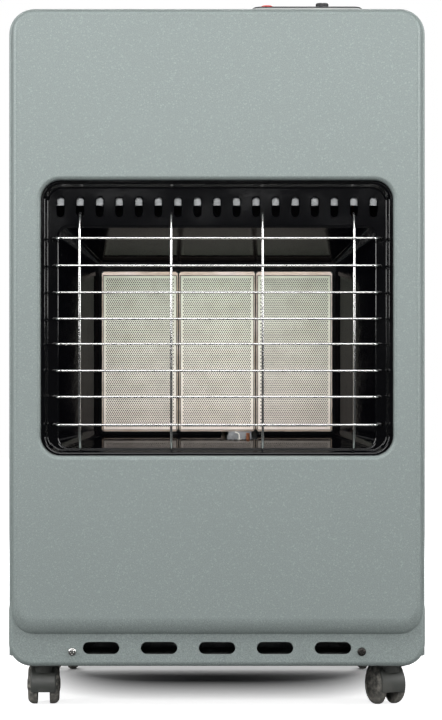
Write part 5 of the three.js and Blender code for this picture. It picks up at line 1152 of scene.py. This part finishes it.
class HEATER_OT_plaques(bpy.types.Operator):
    """Press the three ceramic plaques with their rows of pin holes"""

    bl_idname = "heater.plaques"
    bl_label = "Ceramic Plaques"

    def execute(self, context):
        sizes = context.scene.heater_burner
        first = self.plaque(sizes)
        for side in BURNERS:
            middle = sum(corner[0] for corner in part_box(f"ceramic_plaque_{side}")) / 2
            piece = shift(copy_of(first), middle)
            finished(
                piece, f"plaque_{side}_pierced", "plaque_ceramic", "cabinet", f"ceramic_plaque_{side}",
                angle=25, weighted=False,
            )
        bpy.data.objects.remove(first)
        return {"FINISHED"}

    def plaque(self, sizes):
        """One plaque about x = 0: a pierced field in a plain frame with a solid back."""
        low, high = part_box("ceramic_plaque_centre")
        half_width, face, rear = (high.x - low.x) / 2, low.y, high.y
        border, chamfer = 0.0022, 0.0006
        pitch, row_pitch = sizes.hole_pitch, sizes.row_pitch
        across = int((2 * (half_width - border)) / pitch - 0.5)
        rows = int((PLAQUE_TOP - PLAQUE_LOW - 2 * border) / row_pitch)
        rows -= rows % 2
        field_x = (across + 0.5) * pitch / 2
        field_z = rows * row_pitch / 2
        middle_z = (PLAQUE_LOW + PLAQUE_TOP) / 2
        first, second = middle_z - field_z, middle_z - field_z + row_pitch
        field = repeated(join(
            self.row(sizes, face, across, -field_x, first),
            self.row(sizes, face, across, -field_x + pitch / 2, second),
            self.patch(face, field_x - pitch / 2, field_x, first, row_pitch),
            self.patch(face, -field_x, -field_x + pitch / 2, second, row_pitch),
        ), rows // 2, (0, 0, 2 * row_pitch))
        front = Outline(half_width - chamfer, PLAQUE_LOW + chamfer, PLAQUE_TOP - chamfer, 0.0004, face)
        pierced = Outline(field_x, middle_z - field_z, middle_z + field_z, 1e-6, face)
        side = Outline(half_width, PLAQUE_LOW, PLAQUE_TOP, 0.001, face + chamfer)
        back = side._replace(y=rear)
        shell = walls([front, side, back], 2)
        fill(shell, back)
        plaque = weld(join(field, shell))
        with editing(plaque, "EDGE"):
            choose_edges(lambda co: pierced.holds(co) or front.holds(co))
            bpy.ops.mesh.bridge_edge_loops()
        return face_outwards(plaque)

    @staticmethod
    def patch(face, left, right, low, height):
        """A plain piece of the plaque's face."""
        piece = upright_square()
        with editing(piece, "VERT", "ALL"):
            stretch((right - left, 1, height), ((left + right) / 2, face, low + height / 2))
        return piece

    def row(self, sizes, face, count, left, low):
        """A row of cells, each with a six-sided hole sunk into it."""
        pitch, height = sizes.hole_pitch, sizes.row_pitch
        hole_depth = 0.0024
        cell = self.patch(face, left, left + pitch, low, height)
        middle = Vector((left + pitch / 2, face, low + height / 2))
        with editing(cell, "EDGE"):
            for level in (low, low + height):
                bpy.ops.mesh.select_all(action="DESELECT")
                choose_edges(lambda co, level=level: abs(co.z - level) < HAIR)
                bpy.ops.mesh.subdivide(number_cuts=1)
            bpy.ops.mesh.select_mode(type="FACE")
            bpy.ops.mesh.select_all(action="SELECT")
            bpy.ops.mesh.inset(thickness=pitch * 0.15)
        with editing(cell, "VERT"):
            mesh = edited_mesh()
            for vert in mesh.verts:
                ray = vert.co - middle
                if abs(ray.x) < pitch * 0.49 and abs(ray.z) < height * 0.49:
                    vert.co = middle + ray.normalized() * sizes.hole_radius
            bmesh.update_edit_mesh(cell.data)
            bpy.ops.mesh.select_mode(type="FACE")
            choose_faces(lambda co, normal: (co - middle).length < sizes.hole_radius * 0.4)
            bpy.ops.mesh.extrude_region_move(TRANSFORM_OT_translate={"value": (0, hole_depth, 0)})
        return repeated(cell, count, (pitch, 0, 0))


# ---------- screws and controls ----------


class HEATER_OT_screws(bpy.types.Operator):
    """Turn the two panel screws and sink the cross in each head"""

    bl_idname = "heater.screws"
    bl_label = "Front Screws"

    def execute(self, context):
        arm, half_width, below, depth = 0.0029, 0.0008, 0.001, 0.0017
        for side, finish, turn in (("left", "guard_chrome", 0.1), ("right", "dark_screw", math.pi / 7)):
            low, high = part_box(f"front_screw_{side}")
            level = (low.z + high.z) / 2 - context.scene.heater_casing.screw_drop
            screw = turned([
                (0, 0), (0.0014, 0), (0.0028, 0.0003), (0.0038, 0.0009), (0.0043, 0.0018),
                (0.0044, 0.0024), (0.0018, 0.0024), (0.0018, 0.0095), (0.0010, 0.0108), (0, 0.0114),
            ], 40)
            cut(screw, box((-arm, -half_width, -below), (arm, half_width, depth)))
            cut(screw, box((-half_width, -arm, -below), (half_width, arm, depth)))
            tilted(tilted(screw, turn, "Z"), -math.pi / 2, "X")
            shift(screw, (low.x + high.x) / 2, low.y, level)
            finished(screw, f"screw_{side}_cross_head", finish, "cabinet", f"front_screw_{side}", angle=35)
        return {"FINISHED"}


class HEATER_OT_controls(bpy.types.Operator):
    """Mould the control console, its knob and the red igniter button"""

    bl_idname = "heater.controls"
    bl_label = "Controls"

    def execute(self, context):
        knob_low, knob_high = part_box("control_knob")
        button_low, button_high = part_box("piezo_button")
        knob = (knob_low + knob_high) / 2
        self.console(knob, (button_low + button_high) / 2)
        self.knob(knob_low, knob_high, knob)
        self.button(button_low, button_high)
        return {"FINISHED"}

    @staticmethod
    def console(knob, button):
        """A plate with a hollow skirt below it, a cup for the knob and a guide for the button."""
        low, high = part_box("control_console")
        under, wall, overlap = high.z - 0.0038, 0.002, 0.0005

        def slab(inset, low_z, high_z, corner, edge=0.0):
            near = (low.x + inset, low.y + inset, low_z)
            return rounded_slab(near, (high.x - inset, high.y - inset, high_z), corner, edge)

        skirt_inset = 0.0053
        plate = slab(0, under, high.z, corner=0.011, edge=0.0030)
        skirt = slab(skirt_inset, low.z, under + overlap, corner=0.004)
        hollow = slab(skirt_inset + wall, low.z - THROUGH, high.z - wall, corner=0.003)
        console = cut(unite(plate, skirt), hollow)
        well_radius, well_floor = 0.0215, high.z - 0.009
        cup_middle = (knob.x, knob.y, (well_floor - wall + high.z - wall) / 2 + overlap)
        unite(console, drum(cup_middle, well_radius + wall, high.z - well_floor + THROUGH, sides=64))
        guide_middle = (button.x, knob.y, (low.z + high.z - wall) / 2)
        unite(console, drum(guide_middle, radius=0.0095, length=high.z - wall - low.z + THROUGH))
        cut(console, turned([
            (0, 0), (well_radius - 0.0008, 0), (well_radius, 0.0008), (well_radius, 0.0075),
            (well_radius + 0.0004, 0.0086), (well_radius + 0.0014, 0.0094),
            (well_radius + 0.002, 0.0106), (0, 0.0106),
        ], 64, (knob.x, knob.y, well_floor)))
        spindle_hole = drum((knob.x, knob.y, well_floor), radius=0.0074, length=0.03)
        cut(console, spindle_hole)
        cut(console, turned([
            (0, -0.02), (0.0064, -0.02), (0.0064, -0.0008), (0.0072, 0.0002), (0.0074, 0.002), (0, 0.002),
        ], 40, (button.x, knob.y, high.z)))
        finished(console, "console_moulding", "console_plastic", "cabinet", "control_console", angle=30)

    @staticmethod
    def knob(low, high, middle):
        """A flat disc with a grip bar across it, a pointer line and the bore for the spindle."""
        radius, disc = (high.x - low.x) / 2, 0.0040
        top = high.z - 0.0032
        knob = turned([
            (0, 0), (radius - 0.0006, 0), (radius, 0.0006), (radius, 0.0026), (radius - 0.0004, 0.0034),
            (radius - 0.0012, 0.0039), (radius - 0.0022, disc), (0, disc),
        ], 72, (middle.x, middle.y, low.z))
        half_width, inset, sunk = 0.0066, 0.001, 0.001
        unite(knob, rounded_slab(
            (middle.x - half_width, middle.y - radius + inset, low.z + disc - sunk),
            (middle.x + half_width, middle.y + radius - inset, top), corner=0.0054, edge=0.0014,
        ))
        line, line_depth, line_end = 0.0005, 0.0004, 0.006
        cut(knob, box(
            (middle.x - line, middle.y - radius, top - line_depth),
            (middle.x + line, middle.y - line_end, top + THROUGH),
        ))
        bore = drum((middle.x, middle.y, high.z - 0.0137), radius=0.0043, length=0.020)
        cut(knob, bore)
        finished(knob, "knob_moulding", "console_plastic", "knob", "control_knob", angle=30)

    @staticmethod
    def button(low, high):
        """A dished cap on a stem that slides in the igniter's body."""
        radius, stem, clearance = 0.006, 0.004, 0.0004
        travel = 0.006
        tall = high.z - low.z + 0.0008
        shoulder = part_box("piezo_body")[1].z + travel + clearance - low.z
        button = turned([
            (0, 0), (stem, 0), (stem, shoulder), (radius, shoulder), (radius, tall - 0.0010),
            (radius - 0.0003, tall - 0.0005), (radius - 0.0008, tall - 0.0002), (radius - 0.0014, tall),
            (radius - 0.0026, tall - 0.0002), (0.0016, tall - 0.0007), (0, tall - 0.0008),
        ], 48, ((low.x + high.x) / 2, (low.y + high.y) / 2, low.z))
        finished(button, "igniter_button_cap", "red_plastic", "igniter_button", "piezo_button", angle=35)


# ---------- castors ----------


class HEATER_OT_castors(bpy.types.Operator):
    """Mould one hooded castor with its two wheels and set a copy under each corner"""

    bl_idname = "heater.castors"
    bl_label = "Castors"

    trail = 0.014  # from the swivel axis to the axle
    axle_height = 0.0205
    axle_bore = 0.0033
    wheel_middle = 0.0160  # from the web to the middle of a wheel's room

    def execute(self, context):
        hood = self.hood()
        wheel = self.wheel()
        axes = {joint["name"]: joint["axis"] for joint in frame["joints"]}
        for name in CASTORS:
            low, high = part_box(f"castor_socket_{name}")
            stands = ((low.x + high.x) / 2, (low.y + high.y) / 2, 0)
            axis = axes[f"wheel_turn_{name}_a"]
            turn = math.atan2(axis[1], axis[0])
            piece = shift(tilted(copy_of(hood), turn, "Z"), *stands)
            finished(
                piece, f"castor_{name}_hood", "castor_plastic", f"castor_{name}", f"castor_hood_{name}"
            )
            for side, facing in (("a", math.pi), ("b", 0)):
                piece = tilted(copy_of(wheel), facing, "Z")
                shift(piece, 0, self.trail, self.axle_height)
                shift(tilted(piece, turn, "Z"), *stands)
                finished(
                    piece, f"castor_{name}_wheel_{side}", "castor_wheel_plastic", f"wheel_{name}_{side}",
                    f"castor_wheel_{name}_{side}", angle=30,
                )
        bpy.data.objects.remove(hood)
        bpy.data.objects.remove(wheel)
        return {"FINISHED"}

    def wheel(self):
        """A nylon wheel about X, its domed side outwards, with a tread groove and a raised hub ring."""
        wheel = turned([
            (0, 0.0063), (0.0195, 0.0063), (0.0202, 0.0066), (0.0205, 0.0073), (0.0205, 0.0104),
            (0.0203, 0.0118), (0.0197, 0.0132), (0.0186, 0.0146), (0.0172, 0.0156), (0.0160, 0.0161),
            (0.0154, 0.0161), (0.0150, 0.0157), (0.0148, 0.0150), (0.0144, 0.0148), (0.0100, 0.0160),
            (0.0060, 0.0169), (0.0042, 0.0172), (0.0038, 0.0169), (0.0034, 0.0168), (0, 0.0171),
        ], 64)
        cut(wheel, drum((0, 0, 0.0060), self.axle_bore, length=0.0164))
        return tilted(wheel, math.pi / 2, "Y")

    def hood(self):
        """The frame over both wheels, with its web, axle boss, flat cap, neck and stem."""
        radius, half_width, rim_round = 0.0234, 0.013, 0.0016
        middle = (0, self.trail, self.axle_height)
        hood = drum(middle, radius, 2 * half_width, "X", 96)
        for end in (-half_width, half_width):
            bevelled(hood, lambda co, end=end: abs(co.x - end) < HAIR, rim_round, 4)
        for degrees, keep in ((-16, 1), (150, -1)):  # the hood's front and rear edges
            angle = math.radians(degrees)
            across = Vector((0, math.sin(angle), math.cos(angle))) * keep
            kept_side(hood, middle, across, fill=True)
        face_outwards(hood)
        self.clear_wheels(hood, radius=0.0212, width=0.0200)
        boss = drum(middle, radius=0.0062, length=0.012, axis="X", sides=40)
        shoulder = drum((0, 0, 0.0385), radius=0.009, length=0.0086, sides=40)
        cap = rounded_slab(
            (-half_width, -0.0095, 0.0405), (half_width, 0.0105, 0.0431),
            corner=0.003, edge=0.0005, steps=5, edge_steps=2,
        )
        neck_and_stem = turned([
            (0, 0.038), (0.0053, 0.038), (0.0053, 0.0469), (0.0049, 0.0473), (0.004, 0.0473),
            (0.004, 0.0522), (0.0034, 0.0527), (0, 0.0527),
        ], 40)
        for part in (boss, shoulder, cap, neck_and_stem):
            unite(hood, part)
        self.clear_wheels(hood, radius=0.0213, width=0.0199)
        return cut(hood, drum(middle, self.axle_bore, length=0.03, axis="X"))

    def clear_wheels(self, hood, radius, width):
        """Cuts the room for the two wheels, on both sides of the web."""
        for x in (-self.wheel_middle, self.wheel_middle):
            cut(hood, drum((x, self.trail, self.axle_height), radius, width, "X", 96))


# ---------- the CAD pieces that stay ----------


class HEATER_OT_kept_pieces(bpy.types.Operator):
    """Give the pieces that keep their CAD form their finishes"""

    bl_idname = "heater.kept_pieces"
    bl_label = "Kept Pieces"

    def execute(self, context):
        for part in frame["record"]["subparts"]:
            piece = frame["nodes"][part["node"]]
            piece.data.materials.clear()
            piece.data.materials.append(material_for(part["material_slot"]))
        return {"FINISHED"}


# ---------- stage ----------


class HEATER_OT_stage(bpy.types.Operator):
    """Lay the floor, set the lamps and place the camera"""

    bl_idname = "heater.stage"
    bl_label = "Stage"

    def execute(self, context):
        stage = context.scene.heater_stage
        self.floor(tuple(stage.floor))
        self.room(stage)
        side_size = (0.5, 1.0)
        for name, place, target, size, strength in (
            ("key_lamp", (0.0, -0.7, 1.6), (0, -0.15, 0.5), (1.8, 0.4), stage.key),
            ("front_lamp", (0.0, -2.4, 0.95), (0, -0.2, 0.40), (1.6, 0.4), stage.front),
            ("left_lamp", (-1.35, -0.75, 0.9), (-0.05, -0.2, 0.46), side_size, stage.side),
            ("right_lamp", (1.35, -0.75, 0.9), (0.05, -0.2, 0.46), side_size, stage.side),
            ("rear_lamp", (0.0, 2.1, 1.3), (0, 0.1, 0.4), (1.6, 0.9), stage.rear),
        ):
            self.lamp(name, Vector(place), Vector(target), size, strength)
        self.camera(stage)
        context.scene.view_settings.view_transform = "Standard"
        return {"FINISHED"}

    @staticmethod
    def camera(stage):
        deselect_all()
        across, eye_level = 0.0041, 0.3566
        bpy.ops.object.camera_add(
            location=(across, CAD_BOX[0][1] - stage.distance, eye_level), rotation=(math.pi / 2, 0, 0)
        )
        camera = bpy.context.object
        camera.data.lens = stage.lens * 1000
        camera.data.sensor_width = 36
        bpy.context.scene.camera = camera

    @staticmethod
    def lamp(name, place, target, size, strength):
        deselect_all()
        aim = (target - place).to_track_quat("-Z", "Y").to_euler()
        bpy.ops.object.light_add(type="AREA", location=place, rotation=aim)
        lamp = bpy.context.object
        lamp.name = name
        lamp.data.shape = "RECTANGLE"
        lamp.data.size, lamp.data.size_y = size
        lamp.data.energy = strength

    @staticmethod
    def floor(colour):
        """A wide floor that looks white, with a painted soft shadow under the cabinet, and is dark in mirrors."""
        black, white = (0, 0, 0), (1, 1, 1)
        width, shade_middle, shade_width = 14, 0.32, 70
        deselect_all()
        bpy.ops.mesh.primitive_plane_add(size=1)
        floor = bpy.context.object
        with editing(floor, "FACE", "ALL"):
            bpy.ops.transform.resize(value=(width, width, 1), center_override=ORIGIN)
            bpy.ops.mesh.subdivide(number_cuts=3)
        floor.name = "studio_floor"
        finish = Finish("studio_floor")
        seen = finish.node("ShaderNodeLightPath", output="Is Camera Ray")
        glossy = finish.node("ShaderNodeLightPath", output="Is Glossy Ray")
        pale = finish.mixed(finish.noise(scale=3) * 0.04, colour, (0.8, 0.8, 0.8))
        base = finish.mixed(glossy, finish.mixed(seen, (0.4, 0.4, 0.4), pale), (0.07, 0.07, 0.07))
        away = finish.between(finish.along("Y"), 0.5, 1.6)
        across, back = finish.along("X"), finish.along("Y") - shade_middle
        # painted shadow: the floor's glow fades to nothing under the cabinet
        shade_end = across * across * across * across * shade_width + back * back
        glow_with_painted_shadow = finish.mixed(finish.between(shade_end, 0.072, 0.2), black, (0.8, 0.8, 0.8))
        glow_with_painted_shadow = finish.mixed(seen, black, finish.mixed(away, glow_with_painted_shadow, white))
        floor.data.materials.append(
            finish.surface(base, 0.9, Specular_IOR_Level=0.1, Emission_Color=glow_with_painted_shadow, Emission_Strength=1.0)
        )

    @staticmethod
    def room(stage):
        """A pale room, dimmer in mirrors and white behind the heater."""
        world = bpy.data.worlds.new("studio_room")
        bpy.context.scene.world = world
        world.use_nodes = True
        nodes, links = world.node_tree.nodes, world.node_tree.links
        nodes.clear()
        ray = nodes.new("ShaderNodeLightPath")

        def light(colour, strength):
            background = nodes.new("ShaderNodeBackground")
            background.inputs["Color"].default_value = (*colour, 1)
            background.inputs["Strength"].default_value = strength
            return background

        def switched(kind, usual, special):
            mix = nodes.new("ShaderNodeMixShader")
            for place, socket in enumerate((ray.outputs[kind], usual.outputs[0], special.outputs[0])):
                links.new(socket, mix.inputs[place])
            return mix

        cool = (0.93, 0.96, 1.0)
        room = switched("Is Glossy Ray", light(cool, stage.surroundings), light(cool, stage.reflected))
        room = switched("Is Camera Ray", room, light((1, 1, 1), 1.0))
        output = nodes.new("ShaderNodeOutputWorld")
        links.new(room.outputs[0], output.inputs["Surface"])


# ---------- panel and registration ----------

STEPS = (
    HEATER_OT_stage,
    HEATER_OT_kept_pieces,
    HEATER_OT_front_panel,
    HEATER_OT_casing,
    HEATER_OT_rear_cover,
    HEATER_OT_surround,
    HEATER_OT_guard,
    HEATER_OT_plaques,
    HEATER_OT_screws,
    HEATER_OT_controls,
    HEATER_OT_castors,
)
GROUPS = {
    "heater_casing": HeaterCasing,
    "heater_burner": HeaterBurner,
    "heater_finishes": HeaterFinishes,
    "heater_stage": HeaterStage,
}


class HEATER_PT_panel(bpy.types.Panel):
    bl_label = "Gas Cabinet Heater"
    bl_idname = "HEATER_PT_panel"
    bl_space_type = "VIEW_3D"
    bl_region_type = "UI"
    bl_category = "Heater"

    def draw(self, context):
        for step in STEPS:
            self.layout.operator(step.bl_idname)
        for name, group in GROUPS.items():
            column = self.layout.column()
            for value in group.__annotations__:
                column.prop(getattr(context.scene, name), value)


def register():
    for cls in (*GROUPS.values(), *STEPS, HEATER_PT_panel):
        bpy.utils.register_class(cls)
    for name, group in GROUPS.items():
        setattr(bpy.types.Scene, name, bpy.props.PointerProperty(type=group))


def unregister():
    for name in GROUPS:
        delattr(bpy.types.Scene, name)
    for cls in (HEATER_PT_panel, *reversed(STEPS), *GROUPS.values()):
        bpy.utils.unregister_class(cls)


def main():
    register()
    for step in STEPS:
        group, name = step.bl_idname.split(".")
        getattr(getattr(bpy.ops, group), name)()


if __name__ == "__main__":
    main()
